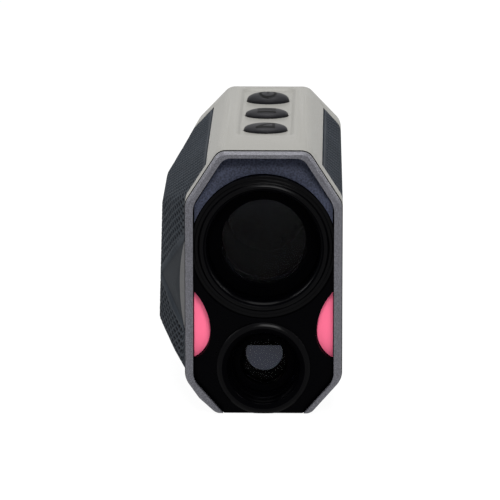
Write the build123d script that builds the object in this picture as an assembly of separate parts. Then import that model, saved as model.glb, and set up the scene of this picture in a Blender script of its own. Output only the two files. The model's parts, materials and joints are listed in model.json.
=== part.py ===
from build123d import *
import os
from math import cos, hypot, pi, radians, sin, sqrt

# Pocket laser speed and range finder, held upright in one hand.
# Millimetres, +Z up. It looks along -Y, and +X is to the right of someone who faces its lenses.
# Depths are counted from the front face of the rim. On saving, everything moves forward by
# socket_depth, so the origin is the mouth of the tripod socket in the flat base.

# ---- driving sizes -------------------------------------------------------------------------
# Body seen from the front: an upright octagon.
body_width = 42.0
top_flat_half = 12.0
shoulder_drop = 14.0
base_flat_half = 12.7
base_rise = 9.4
heel_bulge = 0.5
nose_length = 9.5

# The height is a stack, from the base up: laser channel, main board, prism case, top.
laser_height = 12.4
laser_barrel_radius = 9.2
board_gap = 2.4
board_thickness = 1.6
component_room = 6.8
prism_case_low = 13.0
view_drop = 26.15

# The length is a stack, from the front face back: barrel, prism case, display, rear cover.
barrel_rear = 44.0
prism_case_length = 35.0
display_thickness = 1.6
cover_room = 9.0
cover_thickness = 3.0
cover_set_back = 1.8

# The body narrows a little to the rear, and its shoulders get lower chamfers there.
rear_side_in = 0.6
rear_top_in = 0.9
rear_shoulder_drop = 9.7

# Palm swell on the -X side: how far each left-hand corner moves out where it is fullest.
swell_shoulder_out = 7.3
swell_shoulder_down = 7.1
swell_flank_out = 8.2
swell_flank_up = 9.05
swell_heel_out = 4.55
swell_heel_down = 0.55
swell_half_depth = 20.0
swell_half_share = 0.5
swell_full_depth = 34.0
swell_hold_depth = 62.0
swell_fade_length = 15.4
swell_fade_share = 0.44

# Corner rounding of the body outline.
top_corner = 3.6
shoulder_corner = 4.5
flank_corner = 5.0
heel_corner = 4.0
base_corner = 3.0

# Walls, gaps and fits.
wall = 3.2
parting_gap = 0.15
rim_gap = 0.3
grip_gap = 0.35
brow_gap = 0.35
slide_clearance = 0.15
running_clearance = 0.08
cement_gap = 0.05
split_height = 31.0

# The lofted body runs this far below the base and is trimmed there, so the base is one true plane.
base_trim = 0.05

# Front rim and the opening inside it.
rim_depth = 2.0
rim_side = 2.25
rim_top = 1.8
rim_shoulder = 2.2
rim_low_gap = 0.1
rim_edge = 0.3
rim_inset = 0.2
mouth_floor = 1.8
mouth_low_wall = 1.6

# Rubber grips.
grip_thickness = 1.6
grip_front = 10.0
grip_rear_gap = 3.1
grip_top_half = 15.8
grip_low = 6.5
grip_corner = 6.0
scallop_low = 20.0
scallop_high = 46.0
scallop_bite = 4.6

# Two smooth facets that meet in a ridge, in the front half of the left grip.
facet_high = 46.5
facet_low = 20.5
facet_tip_depth = 35.0
facet_tip_height = 31.0
facet_ridge_out = 0.7

# Black lens block inside the rim.
block_face = 1.3
block_shelf = 6.2
block_back = 9.6
block_horn_drop = 4.8
brow_reach = 20.0
brow_crease_drop = 14.0
brow_crease_depth = 1.2
brow_top_depth = 5.0
accent_depth = 3.6
accent_thickness = 3.4
accent_tip_high = 33.5
accent_tip_low = 14.8
accent_bulge_height = 21.9
accent_bulge = 4.4

# Objective, the large lens.
objective_flange = 19.3
objective_step = 18.3
objective_flank = 17.5
objective_lip = 16.1
objective_face = 0.6
objective_flank_drop = 0.8
objective_step_drop = 0.3
objective_bore = 14.9
objective_bevel = 1.2
objective_wall = 1.0
objective_seat = 12.5
objective_aperture = 11.5
objective_stop = 11.2
objective_rear_aperture = 10.5
objective_barrel_front = 7.8
objective_lens_face = 9.6
crown_thickness = 2.6
flint_thickness = 3.2
crown_bulge = 1.2
crown_back_bulge = 1.4
barrel_radius = 15.6
retainer_thickness = 1.2

# Laser channel, the small lens.
laser_flange = 12.6
laser_face = 0.3
laser_lip = 11.1
laser_flank_drop = 0.7
laser_funnel = 9.8
laser_funnel_front = 1.4
laser_funnel_rear = 2.3
laser_bore = 8.0
laser_bore_front = 5.9
laser_neck = 9.9
laser_neck_rear = 9.0
laser_board_gap = 0.65
laser_seat = 6.9
laser_aperture = 6.45
laser_lens_face = 9.6
laser_lens_thickness = 2.6
laser_lens_bulge = 0.7
baffle_depth = 15.0
baffle_thickness = 1.0
baffle_radius = 4.9
baffle_flat = 2.15
baffle_raise = 0.8
window_thickness = 1.0
diode_can = 4.5
diode_length = 3.5
laser_board_width = 17.0
laser_board_height = 16.0

# Prism case, receiver and display.
prism_case_half = 13.5
prism_case_high = 13.0
prism_case_wall = 1.5
prism_gap = 0.3
prism_width = 20.0
prism_split_low = 19.84
prism_split_high = 8.96
half_prism_top = 16.13
half_prism_side = 18.4
display_half = 9.5
receiver_can = 2.7
receiver_drop = 3.0
receiver_board_half = 8.0
receiver_board_thickness = 1.2

# Eyepiece.
eyepiece_flange = 15.4
eyepiece_tube = 13.2
eyepiece_bore = 11.6
cell_bore = 10.0
cell_length = 15.6
cell_to_pin = 3.6
focus_travel = 1.2
pin_radius = 0.8
pin_set_back = 3.8
pin_tip = 14.1
ring_gap = 1.4
ring_length = 8.2
ring_chamfer = 0.6
ring_root = 17.0
ring_ridge = 0.5
ring_ridges = 40
ring_spigot = 15.2
ring_spigot_length = 1.8
groove_radius = 14.4
clip_thickness = 0.6
clip_outer = 14.2
clip_seat = 12.7
clip_shoulder = 1.0
seal_wire = 0.5
seal_set_back = 1.4
cup_length = 5.8
cup_outer = 16.9
cup_lip_outer = 16.2
cup_inner = 12.0
cup_lip_inner = 14.2
cup_floor_thickness = 2.0
field_lens_thickness = 4.0
eye_lens_thickness = 4.6
lens_set_back = 1.0
flat_side_bulge = 0.8
field_bulge = 1.6
eye_bulge = 1.8

# Keys and the trough that they stand in.
key_length = 11.8
key_width = 10.0
key_depths = {"slope_key": 33.7, "mode_key": 55.0, "power_key": 76.3}
key_proud = {"slope_key": 1.0, "mode_key": 1.0, "power_key": 1.6}
key_dome = 1.3
key_flange = 1.0
key_flange_thickness = 0.9
key_stem_radius = 1.6
key_stem = 1.0
key_travel = 0.5
key_mark_depth = 0.25
mark_width = 0.6
trough_half = 7.7
trough_front = 23.0
trough_end_wall = 2.4
trough_drop = 0.8
trough_slope = 1.0
trough_corner = 2.5
key_board_half = 7.6
key_board_margin = 0.2
key_board_thickness = 1.0
switch_side = 6.0
switch_height = 1.3
plunger_radius = 1.3
plunger_height = 0.2
plunger_gap = 0.1
post_radius = 1.4

# Rear cover, battery door and battery.
cover_wall = 1.7
door_left = -11.4
door_low = 5.0
door_high = 23.8
door_thickness = 2.1
door_ledge = 1.2
door_corner = 1.5
hinge_x = 11.4
hinge_radius = 1.3
hinge_inset = 0.4
hinge_sweep = 1.9
hinge_ear = 3.8
hinge_pin_radius = 0.6
cell_radius = 7.8
cell_body_length = 26.0
cell_tip_radius = 3.2
cell_tip_length = 1.0
cell_axis_height = 13.0
cell_rear_room = 6.1
tray_half = 9.6
tray_rear_gap = 2.0
tray_wall = 1.5
spring_room = 4.5
spring_wire = 0.35
spring_radius = 3.4
spring_turns = 4.0
contact_half = 4.0
contact_thickness = 0.5

# Boards, fixings and fittings.
main_board_half = 15.0
main_board_front = 16.0
main_board_length = 60.0
board_post_x = 13.3
board_post_places = (26.0, 58.0)

# Parts on the main board, in millimetres: X from and to, distance behind its front edge, and height.
chip_places = (
    (-4.0, 4.0, 6.0, 14.0, 1.2),
    (6.0, 11.0, 4.0, 11.0, 1.6),
    (-12.0, -7.0, 18.0, 23.0, 2.4),
    (5.0, 12.0, 18.0, 22.0, 1.0),
)
capacitor_radius = 3.0
capacitor_x = -9.0
capacitor_place = 8.0
capacitor_height = 3.6
flex_width = 8.0
flex_thickness = 0.2
flex_depth = 50.0
socket_gap = 0.5
socket_bore = 2.55
insert_radius = 4.5
insert_length = 9.0
insert_floor = 1.0
socket_boss_wall = 2.0
screw_radius = 1.0
screw_head_radius = 1.9
screw_head_height = 1.2
screw_length = 5.4
screw_sink = 0.4
screw_slot_width = 0.5
screw_slot_depth = 0.45
base_screw_x = 8.7
base_screw_depth = 7.6
base_screw_rear_gap = 7.0
rear_screw_x = 10.4
rear_screw_drop = 5.4
rear_screw_low_x = 15.6
rear_screw_below_split = 3.4
rear_boss_length = 8.4
rear_boss_wall = 1.5
lug_x = -14.6
lug_height = 14.5
lug_width = 2.6
lug_end_wall = 1.9
lug_corner = 2.6
lug_hole_gap = 0.1
lug_tall = 7.0
lug_bore = 1.6

# ---- derived sizes -------------------------------------------------------------------------
body_half = body_width / 2
main_board_height = laser_height + laser_barrel_radius + board_gap
main_board_top = main_board_height + board_thickness
view_height = main_board_top + component_room + prism_case_low
body_height = view_height + view_drop
prism_case_rear = barrel_rear + prism_case_length
eyepiece_front = prism_case_rear + display_thickness
cover_depth = eyepiece_front + cover_room
cover_rear = cover_depth + cover_thickness
shell_length = cover_rear + cover_set_back
swell_fade_depth = shell_length - swell_fade_length
grip_rear = cover_depth - grip_rear_gap
brow_low = body_height - brow_reach
brow_crease_height = body_height - brow_crease_drop
shell_front = rim_depth + rim_gap
top_inside = body_height - wall
trough_floor = body_height - trough_drop
key_flange_top = top_inside - slide_clearance
key_flange_low = key_flange_top - key_flange_thickness
key_stem_low = key_flange_low - key_stem
switch_top = key_stem_low - key_travel - plunger_gap
key_board_top = switch_top - plunger_height - switch_height
trough_rear = shell_length - trough_end_wall
ring_front = cover_rear + ring_gap
ring_rear = ring_front + ring_length
eyepiece_rear = ring_rear + clip_shoulder
pin_depth = ring_front + pin_set_back
cell_mid = pin_depth - cell_to_pin
seal_depth = cover_depth + seal_set_back
cup_floor = ring_rear + cup_floor_thickness
cup_rear = ring_rear + cup_length
hinge_y = cover_rear - hinge_inset
lug_hole_depth = shell_length + lug_bore + lug_hole_gap
lug_rear = lug_hole_depth + lug_bore + lug_end_wall
door_front = cover_rear - door_thickness
cell_rear = cover_depth - cell_rear_room
cell_front = cell_rear - cell_body_length
tray_front = cell_front - spring_room - tray_wall
tray_rear = cover_depth - tray_rear_gap
socket_boss_radius = insert_radius + socket_boss_wall
socket_depth = tray_front - socket_gap - socket_boss_radius
laser_board_rear = socket_depth - socket_boss_radius - laser_board_gap
laser_barrel_rear = laser_board_rear - board_thickness - diode_length / 2
main_board_rear = main_board_front + main_board_length
base_screw_depths = (base_screw_depth, cover_depth - base_screw_rear_gap)
rear_screw_high = body_height - rear_screw_drop
rear_screw_low = split_height - rear_screw_below_split
rear_screw_places = (
    (rear_screw_x, rear_screw_high), (-rear_screw_x, rear_screw_high),
    (rear_screw_low_x, rear_screw_low), (-rear_screw_low_x, rear_screw_low),
)
corner_radii = (
    top_corner, shoulder_corner, flank_corner, heel_corner, base_corner,
    base_corner, flank_corner, shoulder_corner, top_corner,
)


# ---- small tools ---------------------------------------------------------------------------
def save(name, shape):
    """Write one piece, moved so that the tripod socket is the origin."""
    export_step(Pos(0, -socket_depth, 0) * shape, f"parts/{name}.step")


def slab(x0, x1, y0, y1, z0, z1):
    """A box between two corners."""
    place = Pos((x0 + x1) / 2, (y0 + y1) / 2, (z0 + z1) / 2)
    return place * Box(x1 - x0, y1 - y0, z1 - z0)


def through(sketch, front, rear):
    """A flat outline in X and Z, carried from one depth to another."""
    return extrude(Plane.XZ.offset(-rear) * sketch, rear - front)


def disc(radius, front, rear, height, x=0.0):
    """A round bar along the line of sight."""
    return through(Pos(x, height) * Circle(radius), front, rear)


def tube(outer, inner, front, rear, height):
    """A round tube along the line of sight."""
    return through(Pos(0, height) * (Circle(outer) - Circle(inner)), front, rear)


def turned(points, height):
    """Turn a closed outline of (radius, depth) points about the axis at this height."""
    outline = Polyline(*[(radius, depth, height) for radius, depth in points], close=True)
    return revolve(make_face(outline), Axis((0, 0, height), (0, 1, 0)))


def post(radius, x, depth, low, high):
    """An upright round bar."""
    return Pos(x, depth, low) * Cylinder(radius, high - low, align=(Align.CENTER, Align.CENTER, Align.MIN))


def lens(radius, height, front, front_bulge, rear, rear_bulge):
    """A round lens. A positive bulge is convex, and a negative one is hollow."""
    def face_arc(edge, bulge):
        sphere = (radius**2 + bulge**2) / (2 * abs(bulge))
        half_sag = sphere - sqrt(sphere**2 - radius**2 / 4)
        middle = edge + bulge - half_sag * (1 if bulge > 0 else -1)
        return ThreePointArc((0, edge + bulge, height), (radius / 2, middle, height), (radius, edge, height))

    front_arc = face_arc(front, -front_bulge)
    rear_arc = face_arc(rear, rear_bulge)
    rim_line = Line(front_arc @ 1, rear_arc @ 1)
    axis_line = Line(rear_arc @ 0, front_arc @ 0)
    return revolve(make_face(front_arc + rim_line + rear_arc + axis_line), Axis((0, 0, height), (0, 1, 0)))


# ---- body outline --------------------------------------------------------------------------
def blend(a, b, share):
    return a + (b - a) * share


def swell_share(depth):
    """How much of the palm swell is there at a depth, from 0 to 1."""
    stations = (
        (nose_length, 0.0), (swell_half_depth, swell_half_share), (swell_full_depth, 1.0),
        (swell_hold_depth, 1.0), (swell_fade_depth, swell_fade_share), (shell_length, 0.0),
    )
    if depth <= nose_length or depth >= shell_length:
        return 0.0
    for (start, low), (end, high) in zip(stations, stations[1:]):
        if depth <= end:
            return blend(low, high, (depth - start) / (end - start))
    return 0.0


def outline_corners(depth):
    """The body's corners in X and Z at a depth, anticlockwise from the upper left."""
    share = min(max((depth - nose_length) / (shell_length - nose_length), 0.0), 1.0)
    swell = swell_share(depth)
    side = body_half - rear_side_in * share
    top = top_flat_half - rear_top_in * share
    shoulder = body_height - blend(shoulder_drop, rear_shoulder_drop, share)
    heel = ((side + base_flat_half) / 2 + heel_bulge, base_rise / 2 - heel_bulge)
    return [
        (-top, body_height),
        (-side - swell * swell_shoulder_out, shoulder - swell * swell_shoulder_down),
        (-side - swell * swell_flank_out, base_rise + swell * swell_flank_up),
        (-heel[0] - swell * swell_heel_out, heel[1] - swell * swell_heel_down),
        (-base_flat_half, -base_trim),
        (base_flat_half, -base_trim),
        (side, base_rise),
        (side, shoulder),
        (top, body_height),
    ]


def moved_in(corners, inset):
    """The same outline with every side moved inwards."""
    lines = []
    for (x0, z0), (x1, z1) in zip(corners, corners[1:] + corners[:1]):
        length = hypot(x1 - x0, z1 - z0)
        normal = (-(z1 - z0) / length, (x1 - x0) / length)
        lines.append((normal, normal[0] * x0 + normal[1] * z0 + inset))
    moved = []
    for (first, a), (second, b) in zip(lines[-1:] + lines[:-1], lines):
        scale = first[0] * second[1] - first[1] * second[0]
        moved.append(((a * second[1] - b * first[1]) / scale, (first[0] * b - second[0] * a) / scale))
    return moved


def body_section(depth, inset=0.0, at=None):
    """The rounded body outline at a depth, as a face. It may be placed at another depth."""
    place = depth if at is None else at
    corners = moved_in(outline_corners(depth), inset)
    radii = [max(radius - inset, 0.4) for radius in corner_radii]
    points = [(x, place, z) for x, z in corners]
    return make_face(FilletPolyline(*points, radius=radii, close=True).edges())


def envelope(front, rear, inset=0.0):
    """The body as a solid between two depths, with its sides moved inwards."""
    stops = (nose_length, swell_half_depth, swell_full_depth, swell_hold_depth, swell_fade_depth)
    depths = [front] + [stop for stop in stops if front < stop < rear] + [rear]
    sections = []
    for depth in depths:
        sections.append(body_section(min(depth, shell_length), inset, at=depth))
    return loft(sections, ruled=True)


def mouth(clearance=0.0, closed=False):
    """The opening inside the rim. Behind the rim it is closed below by the shell's floor."""
    corners = outline_corners(0.0)
    upper = moved_in(corners, rim_shoulder + clearance)
    lower = moved_in(corners, mouth_low_wall + clearance)
    side = body_half - rim_side - clearance
    top = body_height - rim_top - clearance

    def cross(first, second, level, axis):
        share = (level - first[axis]) / (second[axis] - first[axis])
        return blend(first[1 - axis], second[1 - axis], share)

    shoulder_line = (upper[8], upper[7])
    top_half = cross(*shoulder_line, top, 1)
    side_high = cross(*shoulder_line, side, 0)
    floor = clearance + (mouth_floor if closed else -rim_low_gap)
    low_line = (lower[6], lower[5])
    side_low = cross(*low_line, side, 0)
    floor_half = cross(*low_line, floor, 1)
    right = [(floor_half, floor), (side, side_low), (side, side_high), (top_half, top)]
    left = [(-x, z) for x, z in reversed(right)]
    return make_face(Polyline(*(right + left), close=True))


# ---- casing --------------------------------------------------------------------------------
def grip_region(side, grow=0.0):
    """The stretch of one flank that a rubber grip covers."""
    high = body_height + wall
    depth_mid = (grip_front + grip_rear) / 2
    height_mid = (grip_low + high) / 2
    outline = RectangleRounded(grip_rear - grip_front + 2 * grow, high - grip_low + 2 * grow, grip_corner)
    outer = body_half + swell_flank_out + wall
    inner = grip_top_half - grow
    region = Plane.YZ * Pos(depth_mid, height_mid) * outline
    solid = Pos(inner, 0, 0) * extrude(region, outer - inner)
    if side < 0:
        solid = mirror(solid, Plane.YZ) - scallop(grow)
    return solid


def scallop(grow=0.0):
    """A shallow bite in the front edge of the left grip, where the shell shows."""
    half_chord = (scallop_high - scallop_low) / 2
    radius = (half_chord**2 + scallop_bite**2) / (2 * scallop_bite)
    place = Plane.YZ * Pos(grip_front + scallop_bite - radius, (scallop_high + scallop_low) / 2)
    return extrude(place * Circle(radius - grow), -2 * body_width)


def facet_cut():
    """What the two smooth facets take off the left grip."""
    front_x = outline_corners(grip_front)[2][0]
    tip_x = outline_corners(facet_tip_depth)[2][0]
    tip = Vector(tip_x, facet_tip_depth, facet_tip_height)
    ridge = Vector(front_x - facet_ridge_out, grip_front, facet_tip_height)
    cuts = []
    for height in (facet_high, facet_low):
        corner = Vector(front_x, grip_front, height)
        outward = (tip - corner).cross(ridge - corner).normalized()
        if outward.X > 0:
            outward = -outward
        triangle = make_face(Polyline(
            (corner.Y, corner.Z), (tip.Y, tip.Z), (ridge.Y, ridge.Z), close=True,
        ))
        column = extrude(Plane.YZ * triangle, -body_width)
        beyond = Plane(tip, z_dir=outward) * extrude(Rectangle(2 * shell_length, 2 * shell_length), wall)
        cuts.append(column & beyond)
    return cuts


def make_grips():
    skin = envelope(nose_length, cover_depth) - envelope(nose_length, cover_depth, grip_thickness)
    grips = {side: skin & grip_region(side) for side in (-1, 1)}
    for cut in facet_cut():
        grips[-1] -= cut
    return grips


def make_shells():
    outside = envelope(shell_front, shell_length)
    inside = envelope(block_back + parting_gap, cover_depth, wall)
    mouth_cut = through(mouth(closed=True), shell_front, block_back + parting_gap)
    cover_cut = envelope(cover_depth, shell_length, cover_wall)
    pocket_depth = grip_thickness + cement_gap
    skin = envelope(nose_length, cover_depth, -wall) - envelope(nose_length, cover_depth, pocket_depth)
    body = outside - inside - mouth_cut - cover_cut
    body -= slab(-body_width, body_width, 0, cup_rear, -wall, 0)
    for side in (-1, 1):
        body -= skin & grip_region(side, grip_gap)
    body -= make_trough()
    halves = split(body, Plane.XY.offset(split_height), keep=Keep.BOTH).solids()
    halves.sort(key=lambda half: half.center().Z)
    return finish_upper(halves[-1]), finish_lower(halves[0])


def make_trough():
    """The shallow recess round the keys, with sloping sides."""
    length = trough_rear - trough_front
    middle = (trough_front + trough_rear) / 2
    mouth_height = body_height + trough_drop
    grow = 2 * trough_slope
    floor = RectangleRounded(2 * trough_half - grow, length - grow, trough_corner)
    opening = RectangleRounded(2 * trough_half + grow, length + grow, trough_corner)
    return loft([Pos(0, middle, trough_floor) * floor, Pos(0, middle, mouth_height) * opening])


def finish_upper(shell):
    for depth in key_depths.values():
        hole = Ellipse(key_length / 2 + slide_clearance, key_width / 2 + slide_clearance)
        shell -= Pos(0, depth, top_inside - wall) * extrude(hole, 2 * wall)
    for x, depth in key_board_posts():
        shell += post(post_radius, x, depth, key_board_top, top_inside + wall / 4)
    for x, height in rear_screw_places:
        if height > split_height:
            shell = add_rear_boss(shell, x, height)
    return shell


def finish_lower(shell):
    boss_top = insert_length + socket_boss_wall
    shell += post(socket_boss_radius, 0, socket_depth, wall / 2, boss_top)
    shell -= post(insert_radius, 0, socket_depth, -wall, insert_length)
    core = envelope(shell_front, cover_depth, wall / 2)
    for x in (-board_post_x, board_post_x):
        for place in board_post_places:
            shell += post(post_radius, x, main_board_front + place, 0, main_board_height) & core
    for x, height in rear_screw_places:
        if height < split_height:
            shell = add_rear_boss(shell, x, height)
    for x in (-base_screw_x, base_screw_x):
        for depth in base_screw_depths:
            shell -= screw_hole(x, depth)
    return shell


def add_rear_boss(shell, x, height):
    """A boss in front of the rear cover, with a web to the nearest wall of the shell."""
    front = cover_depth - rear_boss_length
    boss = disc(screw_radius + rear_boss_wall, front, cover_depth, height, x)
    low, high = height - rear_boss_wall, height + rear_boss_wall
    if height < split_height:
        reach = body_half + swell_flank_out
        boss += slab(min(x, x * reach / abs(x)), max(x, x * reach / abs(x)), front, cover_depth, low, high)
    boss &= envelope(front, cover_depth, cover_wall + cement_gap)
    shell += boss
    return shell - disc(screw_radius, cover_depth - screw_length, cover_depth, height, x)


def key_board_posts():
    """Places of the four posts that carry the key board."""
    x = key_board_half - post_radius
    keys = sorted(key_depths.values())
    depths = [(first + second) / 2 for first, second in zip(keys, keys[1:])]
    return [(sign * x, depth) for sign in (-1, 1) for depth in depths]


def screw_hole(x, depth):
    """A countersunk hole in the base, with the screw's own sizes."""
    hole = post(screw_radius, x, depth, -wall, screw_length + screw_sink)
    return hole + post(screw_head_radius + slide_clearance, x, depth, -wall, screw_sink + screw_head_height)


def make_rim():
    """The rim, with its outer front edge broken."""
    outline = body_section(0.0, rim_inset, at=rim_edge)
    edge = loft([body_section(0.0, rim_inset + rim_edge), outline], ruled=True)
    straight = loft([outline, body_section(0.0, rim_inset, at=rim_depth)], ruled=True)
    below = slab(-body_half, body_half, -rim_depth, 2 * rim_depth, -wall, 0)
    return edge + straight - through(mouth(), -rim_depth, 2 * rim_depth) - below


# ---- front ---------------------------------------------------------------------------------
def accent_outline(side, grow=0.0):
    """Half a teardrop against the inner edge of the rim."""
    edge = body_half - rim_side - slide_clearance + grow
    bulge = (edge - accent_bulge - 2 * grow, accent_bulge_height)
    high = (edge, accent_tip_high + grow)
    low = (edge, accent_tip_low - grow)
    upper = TangentArc(bulge, high, tangent=(0, 1))
    lower = TangentArc(bulge, low, tangent=(0, -1))
    face = make_face(upper + Line(high, low) + lower)
    return face if side > 0 else mirror(face, Plane.YZ)


def make_accents():
    rear = accent_depth + accent_thickness
    return {side: through(accent_outline(side), accent_depth, rear) for side in (-1, 1)}


def make_lens_block():
    lip = through(mouth(slide_clearance), block_face, shell_front)
    body = through(mouth(slide_clearance, closed=True), shell_front, block_back)
    block = lip + body
    above = slab(-body_half, body_half, 0, block_shelf, view_height - block_horn_drop, body_height)
    block -= above
    block -= disc(objective_flange + slide_clearance, 0, block_shelf, view_height)
    block -= disc(objective_bore + objective_wall + cement_gap, 0, block_back + wall, view_height)
    block -= disc(laser_neck + cement_gap, 0, block_back + wall, laser_height)
    for side in (-1, 1):
        block -= through(accent_outline(side, slide_clearance), 0, accent_depth + accent_thickness)
    for x in (-base_screw_x, base_screw_x):
        block -= post(screw_radius, x, base_screw_depths[0], 0, screw_length + screw_sink)
    return block


def make_brow():
    """The sloping plate above the large lens."""
    top = body_height - rim_top - brow_gap
    outline = Polyline(
        (brow_top_depth, top), (brow_crease_depth, brow_crease_height), (brow_crease_depth, brow_low),
        (block_shelf, brow_low), (block_shelf, top), close=True,
    )
    wedge = Pos(-body_half, 0, 0) * extrude(Plane.YZ * make_face(outline), body_width)
    plate = wedge & through(mouth(brow_gap), 0, block_back)
    return plate - disc(objective_flange + slide_clearance, 0, block_back, view_height)


def make_objective():
    """The bezel, barrel, lens pair and retainer of the large lens."""
    neck = objective_bore + objective_wall
    neck_rear = block_back + objective_wall
    flank_end = objective_face + objective_flank_drop
    step_end = flank_end + objective_step_drop
    bezel = turned(
        [
            (objective_lip, objective_face), (objective_flank, flank_end), (objective_step, flank_end),
            (objective_step, step_end), (objective_flange, step_end), (objective_flange, block_shelf),
            (neck, block_shelf), (neck, neck_rear), (objective_bore, neck_rear),
            (objective_bore, objective_face + objective_bevel),
        ],
        view_height,
    )
    bezel &= through(mouth(slide_clearance), 0, neck_rear)

    lens_rear = objective_lens_face + crown_thickness + flint_thickness
    spigot = objective_bore - running_clearance
    barrel = turned(
        [
            (objective_seat, objective_barrel_front), (spigot, objective_barrel_front),
            (spigot, neck_rear + parting_gap), (barrel_radius, neck_rear + parting_gap),
            (barrel_radius, barrel_rear), (objective_rear_aperture, barrel_rear),
            (objective_stop, lens_rear), (objective_seat, lens_rear),
        ],
        view_height,
    )
    rim = objective_seat - running_clearance
    retainer_front = objective_lens_face - retainer_thickness
    retainer = tube(rim, objective_aperture, retainer_front, objective_lens_face - cement_gap, view_height)
    crown_rear = objective_lens_face + crown_thickness
    crown = lens(rim, view_height, objective_lens_face, crown_bulge, crown_rear, crown_back_bulge)
    crown -= tube(rim + wall, objective_aperture - cement_gap, 0, objective_lens_face, view_height)
    flint = lens(rim, view_height, crown_rear + cement_gap, -crown_back_bulge, lens_rear, -crown_bulge / 2)
    return bezel, barrel, retainer, crown, flint


def make_laser():
    """The bezel, barrel, lens, retainer, D-shaped stop, window, diode and board of the small lens."""
    bezel = turned(
        [
            (laser_lip, laser_face), (laser_flange, laser_face + laser_flank_drop),
            (laser_flange, block_face), (laser_neck, block_face), (laser_neck, laser_neck_rear),
            (laser_bore, laser_neck_rear), (laser_bore, laser_bore_front),
            (laser_funnel, laser_funnel_rear), (laser_funnel, laser_funnel_front),
        ],
        laser_height,
    )
    bezel &= through(mouth(slide_clearance), 0, laser_neck_rear)
    lens_rear = laser_lens_face + laser_lens_thickness
    front = laser_neck_rear + cement_gap
    barrel_bore = baffle_radius + 1.5 * baffle_thickness
    barrel = tube(laser_barrel_radius, barrel_bore, front, laser_barrel_rear, laser_height)
    barrel -= disc(laser_seat, front, lens_rear, laser_height)
    glass_rim = laser_seat - running_clearance
    glass = lens(glass_rim, laser_height, laser_lens_face, laser_lens_bulge, lens_rear, -laser_lens_bulge / 2)
    glass -= tube(laser_seat, laser_aperture - cement_gap, 0, laser_lens_face, laser_height)
    retainer = tube(
        laser_bore - running_clearance, laser_aperture,
        front - retainer_thickness, laser_lens_face - cement_gap, laser_height,
    )
    retainer -= tube(laser_barrel_radius, glass_rim, front, laser_lens_face, laser_height)
    stop_radius = barrel_bore - running_clearance
    stop_height = laser_height + baffle_raise
    opening = Pos(0, stop_height) * Circle(baffle_radius)
    opening &= Pos(0, stop_height + baffle_flat - baffle_radius) * Rectangle(2 * body_half, 2 * baffle_radius)
    stop = disc(stop_radius, baffle_depth, baffle_depth + baffle_thickness, laser_height)
    stop -= through(opening, 0, baffle_depth + wall)
    window_front = baffle_depth + baffle_thickness
    window = disc(stop_radius, window_front, window_front + window_thickness, laser_height)
    board_front = laser_barrel_rear + diode_length / 2
    diode = disc(diode_can, laser_barrel_rear - diode_length / 2, board_front, laser_height)
    diode += disc(stop_radius, laser_barrel_rear - diode_length / 2, laser_barrel_rear, laser_height)
    board = through(
        Pos(0, laser_height) * Rectangle(laser_board_width, laser_board_height),
        board_front, board_front + board_thickness,
    )
    return bezel, barrel, glass, retainer, stop, window, diode, board


# ---- optics behind the objective -----------------------------------------------------------
def make_prism_case():
    front, rear = barrel_rear, prism_case_rear
    low, high = view_height - prism_case_low, view_height + prism_case_high
    case = slab(-prism_case_half, prism_case_half, front, rear, low, high)
    case = fillet(case.edges().filter_by(Axis.Y), prism_case_wall)
    inner = prism_case_half - prism_case_wall
    case -= slab(
        -inner, inner, front + prism_case_wall, rear - prism_case_wall,
        low + prism_case_wall, high - prism_case_wall,
    )
    case -= disc(objective_rear_aperture, front - wall, front + wall, view_height)
    case -= disc(display_half, rear - wall, rear + wall, view_height)
    case -= post(receiver_can, 0, receiver_depth(), low - wall, low + wall)
    return case


def receiver_depth():
    """The receiver sits under the split of the two prisms."""
    return barrel_rear + prism_case_wall + prism_case_length / 3


def make_prisms():
    """A roof prism and its half prism, side by side with an air gap."""
    low = view_height - prism_case_low + prism_case_wall
    high = view_height + prism_case_high - prism_case_wall
    front = barrel_rear + prism_case_wall
    rear = prism_case_rear - prism_case_wall
    split_low = front + prism_split_low
    split_high = front + prism_split_high
    side_high = low + half_prism_side
    first = Polyline((front, low), (split_low, low), (split_high, high), (front, high), close=True)
    second = Polyline(
        (split_low + prism_gap, low), (rear, low), (rear, side_high),
        (split_high + half_prism_top, high), (split_high + prism_gap, high), close=True,
    )
    solids = []
    for outline in (first, second):
        solids.append(extrude(Plane.YZ * make_face(outline), prism_width / 2, both=True))
    return solids


def make_display():
    side = 2 * (display_half + display_thickness)
    return through(Pos(0, view_height) * Rectangle(side, side), prism_case_rear, eyepiece_front)


def make_receiver():
    low = view_height - prism_case_low
    board_top = low - receiver_drop
    can = post(receiver_can - running_clearance, 0, receiver_depth(), board_top, low + prism_case_wall)
    depth = receiver_depth()
    board = slab(
        -receiver_board_half, receiver_board_half, depth - receiver_board_half, depth + receiver_board_half,
        board_top - receiver_board_thickness, board_top,
    )
    return can, board


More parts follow.
